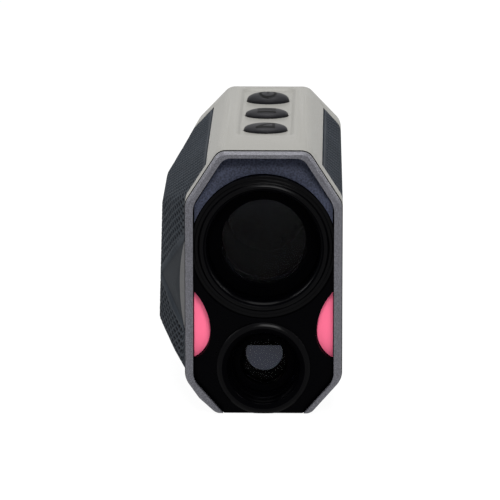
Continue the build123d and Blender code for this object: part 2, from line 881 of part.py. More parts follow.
def make_eyepiece():
    """Everything in and on the eyepiece barrel."""
    front = eyepiece_front
    shoulder = cover_rear + slide_clearance
    barrel = turned(
        [
            (cell_bore, front), (eyepiece_flange, front), (eyepiece_flange, shoulder),
            (eyepiece_tube, shoulder), (eyepiece_tube, eyepiece_rear), (eyepiece_bore, eyepiece_rear),
            (eyepiece_bore, front + objective_wall), (cell_bore, front + objective_wall),
        ],
        view_height,
    )
    barrel -= tube(eyepiece_flange + wall, eyepiece_flange + cement_gap - 2 * seal_wire,
                   seal_depth - seal_wire, seal_depth + seal_wire, view_height)
    barrel -= tube(eyepiece_flange, clip_seat, ring_rear + slide_clearance,
                   ring_rear + slide_clearance + clip_thickness + cement_gap, view_height)
    slot_half = focus_travel + pin_radius + slide_clearance
    slot_side = pin_radius + running_clearance
    barrel -= slab(-slot_side, slot_side, pin_depth - slot_half, pin_depth + slot_half,
                   view_height + cell_bore, view_height + eyepiece_flange)

    seal = Pos(0, seal_depth, view_height) * Rot(90, 0, 0) * Torus(
        eyepiece_flange + slide_clearance - cement_gap - seal_wire, seal_wire - cement_gap / 2,
    )
    clip = tube(clip_outer, clip_seat + cement_gap, ring_rear + slide_clearance + cement_gap / 2,
                ring_rear + slide_clearance + clip_thickness, view_height)
    clip -= slab(-pin_radius, pin_radius, 0, cup_rear, view_height - 2 * clip_outer, view_height)

    cell_front_end = cell_mid - cell_length / 2
    cell_rear_end = cell_mid + cell_length / 2
    cell_outer = eyepiece_bore - running_clearance
    cell = tube(cell_outer, cell_bore, cell_front_end, cell_rear_end, view_height)
    cell -= post(pin_radius, 0, pin_depth, view_height, view_height + eyepiece_flange)
    pin = post(pin_radius, 0, pin_depth, view_height + cell_bore, view_height + pin_tip)
    glass_radius = cell_bore - cement_gap
    field_front = cell_front_end + lens_set_back
    field_rear = cell_front_end + field_lens_thickness
    field = lens(glass_radius, view_height, field_front, flat_side_bulge, field_rear, field_bulge)
    eye_front = cell_rear_end - eye_lens_thickness
    eye_rear = cell_rear_end - lens_set_back
    eye = lens(glass_radius, view_height, eye_front, eye_bulge, eye_rear, flat_side_bulge)
    pin_clear = disc(cell_bore, cell_front_end, cell_rear_end, view_height)
    return barrel, seal, clip, cell, pin - pin_clear, field, eye


def make_focus_ring():
    inner = eyepiece_tube + running_clearance
    ring = turned(
        [
            (inner, ring_front), (ring_root - ring_chamfer, ring_front),
            (ring_root, ring_front + ring_chamfer),
            (ring_root, ring_rear), (ring_spigot, ring_rear), (ring_spigot, ring_rear + ring_spigot_length),
            (clip_outer + slide_clearance, ring_rear + ring_spigot_length),
            (clip_outer + slide_clearance, ring_rear), (inner, ring_rear),
        ],
        view_height,
    )
    groove_half = focus_travel + pin_radius + slide_clearance
    ring -= tube(groove_radius, cell_bore, pin_depth - groove_half, pin_depth + groove_half, view_height)
    ridge_radius = pi * ring_root / ring_ridges / 2
    for index in range(ring_ridges):
        angle = radians(360 * index / ring_ridges)
        reach = ring_root + ring_ridge - ridge_radius
        ring += through(
            Pos(reach * cos(angle), view_height + reach * sin(angle)) * Circle(ridge_radius),
            ring_front + 2 * ring_chamfer, ring_rear - ring_chamfer,
        )
    return ring


def make_eyecup():
    seat = ring_rear + cement_gap
    return turned(
        [
            (ring_spigot + cement_gap, seat), (cup_outer, seat), (cup_outer, cup_floor),
            (cup_lip_outer, cup_rear), (cup_lip_inner, cup_rear), (cup_inner, cup_floor + wall / 2),
            (cup_inner, cup_floor), (ring_spigot + cement_gap, cup_floor),
        ],
        view_height,
    )


# ---- keys ----------------------------------------------------------------------------------
def key_mark(name):
    """A plain sign on each key: on and off, a list, and a slope."""
    half = key_width / 4
    if name == "power_key":
        arc = Circle(half) - Circle(half - mark_width) - Pos(0, -half) * Rectangle(2.2 * mark_width, 2 * half)
        return arc + Pos(0, -half / 2) * Rectangle(mark_width, 1.5 * half)
    if name == "mode_key":
        rows = [Pos(0, row * 2 * mark_width) * Rectangle(2 * half, mark_width) for row in (-1, 0, 1)]
        return rows[0] + rows[1] + rows[2]
    corners = ((-half, half / 2), (half, half / 2), (half, -half))
    solid = make_face(Polyline(*corners, close=True))
    return solid - offset(solid, -mark_width)


def key_crown(apex):
    """The rounded top of a key, down to far below its edge."""
    radius = (key_width**2 / 4 + key_dome**2) / (2 * key_dome)
    return Pos(0, 0, apex - radius) * scale(Sphere(radius), by=(key_length / key_width, 1, 1))


def make_keys():
    keys = {}
    for name, depth in key_depths.items():
        apex = trough_drop + trough_floor + key_proud[name] - key_flange_top
        cap = extrude(Ellipse(key_length / 2, key_width / 2), apex) & key_crown(apex)
        cap -= extrude(key_mark(name), apex) - key_crown(apex - key_mark_depth)
        key = Pos(0, depth, key_flange_top) * cap
        flange = Ellipse(key_length / 2 + key_flange, key_width / 2 + key_flange)
        key += Pos(0, depth, key_flange_low) * extrude(flange, key_flange_thickness)
        key += post(key_stem_radius, 0, depth, key_stem_low, key_flange_low)
        keys[name] = key
    return keys


def make_key_board():
    low = key_board_top - key_board_thickness
    reach = switch_side / 2 + key_board_margin
    front, rear = min(key_depths.values()) - reach, max(key_depths.values()) + reach
    return slab(-key_board_half, key_board_half, front, rear, low, key_board_top)


def make_switches():
    switches = []
    half = switch_side / 2
    for depth in key_depths.values():
        body = slab(-half, half, depth - half, depth + half, key_board_top, key_board_top + switch_height)
        switches.append(body + post(plunger_radius, 0, depth, key_board_top + switch_height, switch_top))
    return Compound(switches)


# ---- rear cover and battery ----------------------------------------------------------------
def door_panel(grow=0.0):
    """The outline of the battery door, from its free edge to the hinge line."""
    width = hinge_x - door_left + grow
    height = door_high - door_low + 2 * grow
    mid = ((hinge_x + door_left - grow) / 2, (door_high + door_low) / 2)
    return Pos(*mid) * RectangleRounded(width, height, door_corner)


def hinge_ears(grow=0.0):
    """Height ranges of the two ears that the rear cover holds the hinge pin in."""
    return [(door_low - grow, door_low + hinge_ear + grow), (door_high - hinge_ear - grow, door_high + grow)]


def make_rear_cover():
    cover = envelope(cover_depth, cover_rear, cover_wall + slide_clearance)
    cover -= disc(eyepiece_flange + slide_clearance, 0, cup_rear, view_height)
    cover -= through(door_panel(slide_clearance), door_front - slide_clearance, cup_rear)
    way_right = hinge_x - hinge_sweep
    way_width = way_right - door_left - 2 * door_ledge
    way_height = door_high - door_low - 2 * door_ledge
    way = Pos((way_right + door_left) / 2, (door_high + door_low) / 2)
    cover -= through(way * RectangleRounded(way_width, way_height, door_corner), 0, cup_rear)
    low, high = door_low - slide_clearance, door_high + slide_clearance
    cover -= post(hinge_sweep, hinge_x, hinge_y, low, high)
    outline = envelope(cover_depth, cover_rear, cover_wall + slide_clearance)
    for ear_low, ear_high in hinge_ears():
        ear = post(hinge_radius, hinge_x, hinge_y, ear_low, ear_high)
        ear += slab(hinge_x, hinge_x + 1.5 * hinge_sweep, hinge_y - hinge_radius, hinge_y, ear_low, ear_high)
        cover += ear & (outline + post(hinge_radius, hinge_x, hinge_y, ear_low, ear_high))
    cover -= post(hinge_pin_radius, hinge_x, hinge_y, door_low, door_high)
    for x, height in rear_screw_places:
        head_room = screw_sink + screw_head_height
        cover -= disc(screw_head_radius + slide_clearance, cover_rear - head_room, cup_rear, height, x)
        cover -= disc(screw_radius + slide_clearance, cover_depth, cover_rear, height, x)
    return cover - lug_root(cement_gap)


def make_door():
    door = through(door_panel(), door_front, cover_rear)
    low, high = door_low - wall, door_high + wall
    door -= post(hinge_radius, hinge_x, hinge_y, low, high)
    door -= slab(hinge_x - hinge_radius / 2, hinge_x + wall, 0, cup_rear, low, high)
    for ear_low, ear_high in hinge_ears(slide_clearance):
        door -= slab(hinge_x - hinge_sweep, hinge_x + wall, 0, cup_rear, ear_low, ear_high)
    knuckle_low = door_low + hinge_ear + slide_clearance
    knuckle_high = door_high - hinge_ear - slide_clearance
    knuckle = post(hinge_radius, hinge_x, hinge_y, knuckle_low, knuckle_high)
    knuckle_front = hinge_y - hinge_radius
    knuckle += slab(hinge_x - hinge_sweep, hinge_x, knuckle_front, hinge_y, knuckle_low, knuckle_high)
    door += knuckle
    door -= post(hinge_pin_radius + running_clearance, hinge_x, hinge_y, low, high)
    pad_front = cell_rear + cell_tip_length + contact_thickness + slide_clearance
    door += disc(contact_half, pad_front, door_front, cell_axis_height)
    return door


def make_door_contact():
    front = cell_rear + cell_tip_length + slide_clearance
    return disc(contact_half, front, front + contact_thickness, cell_axis_height)


def make_battery():
    body = disc(cell_radius, cell_front, cell_rear, cell_axis_height)
    body = fillet(body.edges(), 2 * contact_thickness)
    tip_rear = cell_rear + cell_tip_length
    return body + disc(cell_tip_radius, cell_rear - contact_thickness, tip_rear, cell_axis_height)


def make_tray():
    tray = slab(-tray_half, tray_half, tray_front, tray_rear, wall, cell_axis_height)
    end_top = cell_axis_height + cell_radius
    tray += slab(-tray_half, tray_half, tray_front, tray_front + tray_wall, wall, end_top)
    tray -= disc(cell_radius + slide_clearance, tray_front + tray_wall, tray_rear + wall, cell_axis_height)
    for x in (-base_screw_x, base_screw_x):
        tray -= post(screw_radius, x, base_screw_depths[1], 0, screw_length + screw_sink)
    return tray


def make_spring():
    start = tray_front + tray_wall + contact_thickness + spring_wire
    length = cell_front - start - spring_wire - cement_gap
    coil = Helix(length / spring_turns, length, spring_radius)
    wire = sweep(Plane(coil @ 0, z_dir=coil % 0) * Circle(spring_wire), path=coil)
    return Pos(0, start, cell_axis_height) * Rot(-90, 0, 0) * wire


def make_spring_plate():
    front = tray_front + tray_wall
    side = 2 * (spring_radius + spring_wire)
    return through(Pos(0, cell_axis_height) * Rectangle(side, side), front, front + contact_thickness)


# ---- boards and fittings -------------------------------------------------------------------
def make_main_board():
    return slab(
        -main_board_half, main_board_half, main_board_front, main_board_rear,
        main_board_height, main_board_top,
    )


def make_components():
    """Processor, driver, inductor, connector and a tall capacitor, all on the main board."""
    top = main_board_top
    parts = []
    for x0, x1, near, far, height in chip_places:
        parts.append(slab(x0, x1, main_board_front + near, main_board_front + far, top, top + height))
    depth = main_board_front + capacitor_place
    return Compound(parts + [post(capacitor_radius, capacitor_x, depth, top, top + capacitor_height)])


def make_flex():
    x0 = prism_case_half + slide_clearance
    x1 = x0 + flex_thickness
    key_board_low = key_board_top - key_board_thickness
    front, rear = flex_depth, flex_depth + flex_width
    upright = slab(x0, x1, front, rear, main_board_top, key_board_low)
    flex_low = key_board_low - flex_thickness
    return upright + slab(key_board_half - wall, x1, front, rear, flex_low, key_board_low)


def make_insert():
    insert = post(insert_radius - cement_gap, 0, socket_depth, 0, insert_length - cement_gap)
    return insert - post(socket_bore, 0, socket_depth, -wall, insert_length - insert_floor)


def screw():
    """One screw, head at the bottom, standing on its head's face."""
    shank = post(screw_radius - cement_gap, 0, 0, 0, screw_length)
    body = shank + post(screw_head_radius, 0, 0, 0, screw_head_height)
    slot = Box(2 * screw_head_radius, screw_slot_width, 2 * screw_slot_depth)
    return body - slot - Rot(0, 0, 90) * slot


def make_base_screws():
    places = [(x, depth) for depth in base_screw_depths for x in (-base_screw_x, base_screw_x)]
    return Compound([Pos(x, depth, screw_sink) * screw() for x, depth in places])


def make_rear_screws():
    turn = Rot(90, 0, 0)
    return Compound([
        Pos(x, cover_rear - screw_sink, height) * turn * screw() for x, height in rear_screw_places
    ])


def lug_root(grow=0.0):
    """The foot of the lanyard lug, let into the rear cover."""
    half = lug_tall / 2 + grow
    side = lug_width / 2 + grow
    front = cover_rear - cover_thickness / 2 - grow
    rear = cover_rear + cement_gap
    return slab(lug_x - side, lug_x + side, front, rear, lug_height - half, lug_height + half)


def make_lug():
    """The lug, long enough for its hole to clear the shell's rear edge."""
    tab = slab(
        lug_x - lug_width / 2, lug_x + lug_width / 2, cover_rear, lug_rear,
        lug_height - lug_tall / 2, lug_height + lug_tall / 2,
    )
    rear_edges = [edge for edge in tab.edges().filter_by(Axis.X) if edge.center().Y > lug_hole_depth]
    tab = fillet(rear_edges, lug_corner)
    tab += lug_root()
    hole = Pos(lug_x, lug_hole_depth, lug_height) * Rot(0, 90, 0) * Cylinder(lug_bore, 2 * lug_width)
    return tab - hole


# ---- all pieces ----------------------------------------------------------------------------
def build():
    os.makedirs("parts", exist_ok=True)
    upper, lower = make_shells()
    grips = make_grips()
    accents = make_accents()
    objective = make_objective()
    laser = make_laser()
    prisms = make_prisms()
    receiver = make_receiver()
    eyepiece = make_eyepiece()
    pieces = {
        "upper_shell": upper,
        "lower_shell": lower,
        "front_rim": make_rim(),
        "rear_cover": make_rear_cover(),
        "grip_left": grips[-1],
        "grip_right": grips[1],
        "lens_block": make_lens_block(),
        "brow_plate": make_brow(),
        "accent_left": accents[-1],
        "accent_right": accents[1],
        "objective_bezel": objective[0],
        "objective_barrel": objective[1],
        "objective_retainer": objective[2],
        "objective_crown_lens": objective[3],
        "objective_flint_lens": objective[4],
        "laser_bezel": laser[0],
        "laser_barrel": laser[1],
        "laser_lens": laser[2],
        "laser_retainer": laser[3],
        "laser_stop": laser[4],
        "laser_window": laser[5],
        "laser_diode": laser[6],
        "laser_board": laser[7],
        "prism_case": make_prism_case(),
        "roof_prism": prisms[0],
        "half_prism": prisms[1],
        "reticle_display": make_display(),
        "receiver_diode": receiver[0],
        "receiver_board": receiver[1],
        "eyepiece_barrel": eyepiece[0],
        "eyepiece_seal": eyepiece[1],
        "ring_clip": eyepiece[2],
        "eyepiece_cell": eyepiece[3],
        "focus_pin": eyepiece[4],
        "field_lens": eyepiece[5],
        "eye_lens": eyepiece[6],
        "dioptre_ring": make_focus_ring(),
        "eyecup": make_eyecup(),
        "key_board": make_key_board(),
        "key_switches": make_switches(),
        "battery_door": make_door(),
        "door_contact": make_door_contact(),
        "hinge_pin": post(hinge_pin_radius, hinge_x, hinge_y, door_low, door_high),
        "battery_cell": make_battery(),
        "battery_tray": make_tray(),
        "battery_spring": make_spring(),
        "spring_plate": make_spring_plate(),
        "main_board": make_main_board(),
        "board_components": make_components(),
        "flex_cable": make_flex(),
        "tripod_insert": make_insert(),
        "base_screws": make_base_screws(),
        "rear_screws": make_rear_screws(),
        "lanyard_lug": make_lug(),
    }
    pieces.update(make_keys())
    for name, shape in pieces.items():
        save(name, shape)


build()
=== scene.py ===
"""Looks of a pocket laser speed and range finder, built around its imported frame.

The frame brings every rigid piece at its real size. This script gives each of them its finish, and
models the pieces whose surface needs more than a plain solid: the knurled rubber grips, the turned
lens rings, the domed keys and the moulded front.
Everything is in metres, +Z up. The lenses look along -Y.
"""

import json
import logging
import math
from collections.abc import Callable
from dataclasses import dataclass, field
from enum import Enum

import bmesh
import bpy
import numpy as np
from mathutils import Matrix, Vector
from mathutils.bvhtree import BVHTree

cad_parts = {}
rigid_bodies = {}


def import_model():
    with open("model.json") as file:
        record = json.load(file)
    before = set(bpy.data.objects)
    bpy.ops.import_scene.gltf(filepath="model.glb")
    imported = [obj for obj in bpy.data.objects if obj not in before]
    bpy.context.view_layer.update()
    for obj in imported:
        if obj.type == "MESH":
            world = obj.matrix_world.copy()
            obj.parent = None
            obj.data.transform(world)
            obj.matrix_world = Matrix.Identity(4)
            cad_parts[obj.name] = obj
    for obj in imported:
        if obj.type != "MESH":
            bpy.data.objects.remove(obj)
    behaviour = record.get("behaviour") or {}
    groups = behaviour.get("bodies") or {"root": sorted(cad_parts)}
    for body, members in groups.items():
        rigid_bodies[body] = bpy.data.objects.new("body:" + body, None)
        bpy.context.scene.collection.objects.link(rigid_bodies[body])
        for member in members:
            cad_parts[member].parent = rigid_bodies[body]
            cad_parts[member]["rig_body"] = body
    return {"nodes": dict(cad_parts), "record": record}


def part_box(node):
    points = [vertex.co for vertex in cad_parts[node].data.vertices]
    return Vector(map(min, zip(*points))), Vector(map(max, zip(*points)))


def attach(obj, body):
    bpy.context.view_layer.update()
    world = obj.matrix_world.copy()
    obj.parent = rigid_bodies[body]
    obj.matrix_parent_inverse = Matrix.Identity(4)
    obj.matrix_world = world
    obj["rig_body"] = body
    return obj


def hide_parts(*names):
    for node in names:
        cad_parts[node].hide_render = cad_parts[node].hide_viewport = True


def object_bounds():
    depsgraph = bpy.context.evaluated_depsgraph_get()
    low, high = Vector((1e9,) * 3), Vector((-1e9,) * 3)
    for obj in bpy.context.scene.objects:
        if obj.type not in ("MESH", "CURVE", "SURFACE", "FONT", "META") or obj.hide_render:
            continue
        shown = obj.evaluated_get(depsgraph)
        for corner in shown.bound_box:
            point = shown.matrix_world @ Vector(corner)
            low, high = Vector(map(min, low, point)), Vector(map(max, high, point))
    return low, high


LOG = logging.getLogger("finder")
MM = 0.001
CREST = "crest"
Point = tuple[float, float]
Place = tuple[float, float, float]
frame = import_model()
CAD_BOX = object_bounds()


def millimetres(*values: float) -> Vector:
    """Return a vector given in millimetres, in metres."""
    return Vector(values) * MM


def within(value: float, low: float = 0.0, high: float = 1.0) -> float:
    """Return the value, or the nearer limit where it lies outside them."""
    return min(max(value, low), high)


# ---- colour and shader helpers -----------------------------------------------------------------
def linear(code: str) -> tuple[float, float, float, float]:
    """Turn an sRGB hex colour into the linear values that shaders use.

    Args:
        code: Six hex digits, with or without a leading #.

    Returns:
        Red, green, blue and an alpha of 1.
    """
    digits = code.lstrip("#")
    channels = [int(digits[i:i + 2], 16) / 255 for i in (0, 2, 4)]
    values = [c / 12.92 if c <= 0.04045 else ((c + 0.055) / 1.055) ** 2.4 for c in channels]
    return (values[0], values[1], values[2], 1.0)


def add_node(tree: bpy.types.NodeTree, kind: str, inputs: dict | None = None, **settings) -> bpy.types.Node:
    """Add one shader node with its settings, values and links.

    Args:
        tree: The material's node tree.
        kind: The node's type name, without the word ShaderNode.
        inputs: Input name or number to a plain value, or to the socket that feeds it.
        **settings: Attributes of the node itself.

    Returns:
        The new node.
    """
    node = tree.nodes.new("ShaderNode" + kind)
    for name, value in settings.items():
        setattr(node, name, value)
    for key, value in (inputs or {}).items():
        if isinstance(value, bpy.types.NodeSocket):
            tree.links.new(value, node.inputs[key])
        else:
            node.inputs[key].default_value = value
    return node


def grain_scale(size_mm: float) -> float:
    """Return the texture scale whose features are about this many millimetres across."""
    return 1.0 / (size_mm * MM)


# ---- finishes ------------------------------------------------------------------------------------
@dataclass(frozen=True)
class Finish:
    """A material and how its surface was made.

    Attributes:
        name: The material's name.
        colour: Its sRGB hex colour.
        roughness: The mean roughness.
        metallic: 1 for bare metal, 0 for everything else.
        ior: Index of refraction of what isn't a metal.
        sheen_level: The shader's specular level. 0.5 is plain, and an antireflection finish has less.
    """

    name: str
    colour: str
    roughness: float = 0.5
    metallic: float = 0.0
    ior: float = 1.5
    sheen_level: float = 0.5

    def build(self) -> bpy.types.Material:
        """Make the material, or return the one that is there already."""
        found = bpy.data.materials.get(self.name)
        if found:
            return found
        material = bpy.data.materials.new(self.name)
        material.use_nodes = True
        tree = material.node_tree
        shader = tree.nodes["Principled BSDF"]
        shader.inputs["Base Color"].default_value = linear(self.colour)
        shader.inputs["Roughness"].default_value = self.roughness
        shader.inputs["Metallic"].default_value = self.metallic
        shader.inputs["IOR"].default_value = self.ior
        shader.inputs["Specular IOR Level"].default_value = self.sheen_level
        self.surface(tree, shader)
        return material

    def surface(self, tree: bpy.types.NodeTree, shader: bpy.types.Node) -> None:
        """Add the surface's own detail. A plain finish has none."""


@dataclass(frozen=True)
class SprayedPaint(Finish):
    """Metallic lacquer on a casting: fine flakes and a faint orange peel, with painted shade that darkens it
    below the shoulders.
    """

    flank_shade_colour: str = ""
    flank_shade_top_mm: tuple[float, float] = (54.0, 57.0)
    flake: str = "8a8984"
    flake_mm: float = 0.22
    flake_share: float = 0.3
    peel_mm: float = 0.9
    peel_depth_mm: float = 0.004

    def surface(self, tree: bpy.types.NodeTree, shader: bpy.types.Node) -> None:
        """Mix flakes into the colour and let them glint, and ripple the lacquer."""
        place = add_node(tree, "TexCoord").outputs["Object"]
        flakes = add_node(tree, "TexNoise", {
            "Vector": place, "Scale": grain_scale(self.flake_mm), "Detail": 2.0, "Roughness": 0.7,
        })
        share = add_node(tree, "MapRange", {
            "Value": flakes.outputs["Fac"], "From Min": 0.42, "From Max": 0.68,
            "To Min": 0.0, "To Max": self.flake_share,
        })
        colour = add_node(tree, "Mix", {
            0: share.outputs["Result"], 6: linear(self.colour), 7: linear(self.flake),
        }, data_type="RGBA").outputs[2]
        # Painted shade: below the shoulders the colour fades to the dark flank colour, for the shade on the
        # flanks.
        if self.flank_shade_colour:
            level = add_node(tree, "SeparateXYZ", {"Vector": place})
            flank_shade_share = add_node(tree, "MapRange", {
                "Value": level.outputs["Z"], "From Min": self.flank_shade_top_mm[0] * MM,
                "From Max": self.flank_shade_top_mm[1] * MM,
            }, interpolation_type="SMOOTHSTEP")
            colour = add_node(tree, "Mix", {
                0: flank_shade_share.outputs["Result"], 6: linear(self.flank_shade_colour), 7: colour,
            }, data_type="RGBA").outputs[2]
        tree.links.new(colour, shader.inputs["Base Color"])
        gloss = add_node(tree, "MapRange", {
            "Value": flakes.outputs["Fac"], "From Min": 0.3, "From Max": 0.7,
            "To Min": self.roughness + 0.06, "To Max": self.roughness - 0.06,
        })
        tree.links.new(gloss.outputs["Result"], shader.inputs["Roughness"])
        peel = add_node(tree, "TexNoise", {
            "Vector": place, "Scale": grain_scale(self.peel_mm), "Detail": 3.0,
        })
        height = add_node(tree, "Math", {
            0: peel.outputs["Fac"], 1: flakes.outputs["Fac"],
        }, operation="ADD")
        bump = add_node(tree, "Bump", {
            "Height": height.outputs[0], "Distance": self.peel_depth_mm * MM, "Strength": 1.0,
        })
        tree.links.new(bump.outputs["Normal"], shader.inputs["Normal"])


@dataclass(frozen=True)
class MouldedRubber(Finish):
    """Rubber moulded in a spark-eroded tool: dull, with a fine even grain and a dusty sheen.

    Where there is a pit colour, the net's hollows take it as painted shade, the smooth facets take some of it
    as painted shade too, and its crests keep the rubber's own.
    """

    grain_mm: float = 0.16
    grain_depth_mm: float = 0.012
    dust: str = "2c2e31"
    dust_share: float = 0.3
    pit: str = ""

    def surface(self, tree: bpy.types.NodeTree, shader: bpy.types.Node) -> None:
        """Grain the surface and dust it unevenly."""
        place = add_node(tree, "TexCoord").outputs["Object"]
        grain = add_node(tree, "TexNoise", {
            "Vector": place, "Scale": grain_scale(self.grain_mm), "Detail": 2.0,
        })
        cloud = add_node(tree, "TexNoise", {
            "Vector": place, "Scale": grain_scale(60 * self.grain_mm), "Detail": 4.0, "Roughness": 0.6,
        })
        share = add_node(tree, "MapRange", {
            "Value": cloud.outputs["Fac"], "From Min": 0.4, "From Max": 0.75,
            "To Min": 0.0, "To Max": self.dust_share,
        })
        colour = add_node(tree, "Mix", {
            0: share.outputs["Result"], 6: linear(self.colour), 7: linear(self.dust),
        }, data_type="RGBA").outputs[2]
        # Painted shade: the crest share darkens the hollows, and the facets in part, towards the pit colour.
        if self.pit:
            crest = add_node(tree, "Attribute", attribute_name=CREST)
            unshaded = add_node(tree, "MapRange", {
                "Value": crest.outputs["Fac"], "From Min": 0.35, "From Max": 0.95,
            })
            colour = add_node(tree, "Mix", {
                0: unshaded.outputs["Result"], 6: linear(self.pit), 7: colour,
            }, data_type="RGBA").outputs[2]
        tree.links.new(colour, shader.inputs["Base Color"])
        gloss = add_node(tree, "MapRange", {
            "Value": grain.outputs["Fac"], "From Min": 0.3, "From Max": 0.7,
            "To Min": self.roughness - 0.08, "To Max": self.roughness + 0.08,
        })
        tree.links.new(gloss.outputs["Result"], shader.inputs["Roughness"])
        bump = add_node(tree, "Bump", {
            "Height": grain.outputs["Fac"], "Distance": self.grain_depth_mm * MM,
        })
        tree.links.new(bump.outputs["Normal"], shader.inputs["Normal"])


@dataclass(frozen=True)
class CrinklePaint(Finish):
    """Wrinkle lacquer on a moulded plate: a leathery net of small ridges that catch the light, with a painted
    highlight on them.
    """

    cell_mm: float = 0.42
    depth_mm: float = 0.05
    ridge_highlight: str = "323646"

    def surface(self, tree: bpy.types.NodeTree, shader: bpy.types.Node) -> None:
        """Raise the ridges between warped cells and lighten them a little, as a painted highlight."""
        place = add_node(tree, "TexCoord").outputs["Object"]
        warp = add_node(tree, "TexNoise", {
            "Vector": place, "Scale": grain_scale(1.6 * self.cell_mm), "Detail": 3.0,
        })
        drift = add_node(tree, "VectorMath", {
            0: warp.outputs["Color"], 1: (self.cell_mm * MM,) * 3,
        }, operation="MULTIPLY")
        moved = add_node(tree, "VectorMath", {0: place, 1: drift.outputs[0]}, operation="ADD")
        cells = add_node(tree, "TexVoronoi", {
            "Vector": moved.outputs[0], "Scale": grain_scale(self.cell_mm),
        }, feature="SMOOTH_F1")
        height = add_node(tree, "MapRange", {
            "Value": cells.outputs["Distance"], "From Min": 0.15, "From Max": 0.65,
        })
        colour = add_node(tree, "Mix", {
            0: height.outputs["Result"], 6: linear(self.colour), 7: linear(self.ridge_highlight),
        }, data_type="RGBA")
        tree.links.new(colour.outputs[2], shader.inputs["Base Color"])
        bump = add_node(tree, "Bump", {
            "Height": height.outputs["Result"], "Distance": self.depth_mm * MM,
        })
        tree.links.new(bump.outputs["Normal"], shader.inputs["Normal"])


@dataclass(frozen=True)
class MouldedPlastic(Finish):
    """Injection-moulded plastic: even colour, a faint flow ripple and a little handling haze."""

    ripple_mm: float = 3.0
    ripple_depth_mm: float = 0.01
    haze: float = 0.08
    grain_mm: float = 0.0
    grain_depth_mm: float = 0.0

    def surface(self, tree: bpy.types.NodeTree, shader: bpy.types.Node) -> None:
        """Vary the gloss and ripple the surface. A grained tool adds its grain."""
        place = add_node(tree, "TexCoord").outputs["Object"]
        ripple = add_node(tree, "TexNoise", {
            "Vector": place, "Scale": grain_scale(self.ripple_mm), "Detail": 3.0,
        })
        gloss = add_node(tree, "MapRange", {
            "Value": ripple.outputs["Fac"], "From Min": 0.35, "From Max": 0.7,
            "To Min": self.roughness, "To Max": self.roughness + self.haze,
        })
        tree.links.new(gloss.outputs["Result"], shader.inputs["Roughness"])
        bump = add_node(tree, "Bump", {
            "Height": ripple.outputs["Fac"], "Distance": self.ripple_depth_mm * MM,
        })
        if self.grain_mm > 0:
            grain = add_node(tree, "TexNoise", {
                "Vector": place, "Scale": grain_scale(self.grain_mm), "Detail": 2.0,
            })
            bump = add_node(tree, "Bump", {
                "Height": grain.outputs["Fac"], "Distance": self.grain_depth_mm * MM,
                "Normal": bump.outputs["Normal"],
            })
        tree.links.new(bump.outputs["Normal"], shader.inputs["Normal"])


@dataclass(frozen=True)
class TurnedAnodising(Finish):
    """Turned aluminium, anodised: fine tool lines run round the axis under a dull oxide."""

    axis_height_mm: float = 0.0
    line_mm: float = 0.12
    line_depth_mm: float = 0.004

    def surface(self, tree: bpy.types.NodeTree, shader: bpy.types.Node) -> None:
        """Run tool lines round the axis, which lies along the line of sight."""
        place = add_node(tree, "TexCoord").outputs["Object"]
        centred = add_node(tree, "Mapping", {
            "Vector": place, "Location": (0.0, 0.0, -self.axis_height_mm * MM),
        })
        lines = add_node(tree, "TexWave", {
            "Vector": centred.outputs["Vector"], "Scale": grain_scale(self.line_mm) / 20,
            "Distortion": 0.6, "Detail": 2.0,
        }, wave_type="RINGS", rings_direction="Y")
        gloss = add_node(tree, "MapRange", {
            "Value": lines.outputs["Fac"], "To Min": self.roughness - 0.05, "To Max": self.roughness + 0.07,
        })
        tree.links.new(gloss.outputs["Result"], shader.inputs["Roughness"])
        bump = add_node(tree, "Bump", {
            "Height": lines.outputs["Fac"], "Distance": self.line_depth_mm * MM,
        })
        tree.links.new(bump.outputs["Normal"], shader.inputs["Normal"])


@dataclass(frozen=True)
class CoatedGlass(Finish):
    """Optical glass with an antireflection coating: clear and very smooth, with a weak glint."""

    def surface(self, tree: bpy.types.NodeTree, shader: bpy.types.Node) -> None:
        """Let light through."""
        shader.inputs["Transmission Weight"].default_value = 1.0


@dataclass(frozen=True)
class WornMetal(Finish):
    """Plain machined or plated metal with fine scratches."""

    scratch_mm: float = 0.25

    def surface(self, tree: bpy.types.NodeTree, shader: bpy.types.Node) -> None:
        """Draw scratches as noise stretched along one way."""
        place = add_node(tree, "TexCoord").outputs["Object"]
        stretched = add_node(tree, "Mapping", {"Vector": place, "Scale": (1.0, 0.06, 1.0)})
        scratches = add_node(tree, "TexNoise", {
            "Vector": stretched.outputs["Vector"], "Scale": grain_scale(self.scratch_mm), "Detail": 3.0,
        })
        gloss = add_node(tree, "MapRange", {
            "Value": scratches.outputs["Fac"], "From Min": 0.3, "From Max": 0.7,
            "To Min": self.roughness - 0.08, "To Max": self.roughness + 0.12,
        })
        tree.links.new(gloss.outputs["Result"], shader.inputs["Roughness"])


class Axis(Enum):
    """Heights of the two lines of sight, in millimetres."""

    VIEW = 45.4
    LASER = 12.4


# Silver lacquer: a soft satin band on the top, and painted shade below the shoulders that darkens the flanks.
# The flakes are drawn coarser than real ones, which are too fine to show.
SHELL_PAINT = SprayedPaint(
    "sprayed_lacquer_silver", "777672", 0.45, metallic=0.03, sheen_level=0.15, flank_shade_colour="28282a",
)
# Pewter lacquer: a grainy grey rim with a cool tint.
RIM_PAINT = SprayedPaint(
    "sprayed_lacquer_pewter", "46464b", 0.42, metallic=0.3, sheen_level=0.3, flake="77777f",
    flake_mm=0.3, flake_share=0.5, peel_depth_mm=0.010,
)
# Rubbers: dull slate ridges over hollows darkened by painted shade, a black eyecup, and charcoal silicone
# keys.
GRIP_RUBBER = MouldedRubber(
    "moulded_rubber_slate", "24282d", 0.7, sheen_level=0.06, dust="353a41", pit="030304",
)
CUP_RUBBER = MouldedRubber("moulded_rubber_black", "141517", 0.65, sheen_level=0.15)
KEY_RUBBER = MouldedRubber(
    "moulded_silicone_charcoal", "141417", 0.5, sheen_level=0.1, dust="1d1d21",
)
# Wrinkle lacquer: a leathery dark blue grain on the brow plate.
BROW_PAINT = CrinklePaint("wrinkle_lacquer_black", "1d202b", 0.55, sheen_level=0.12)
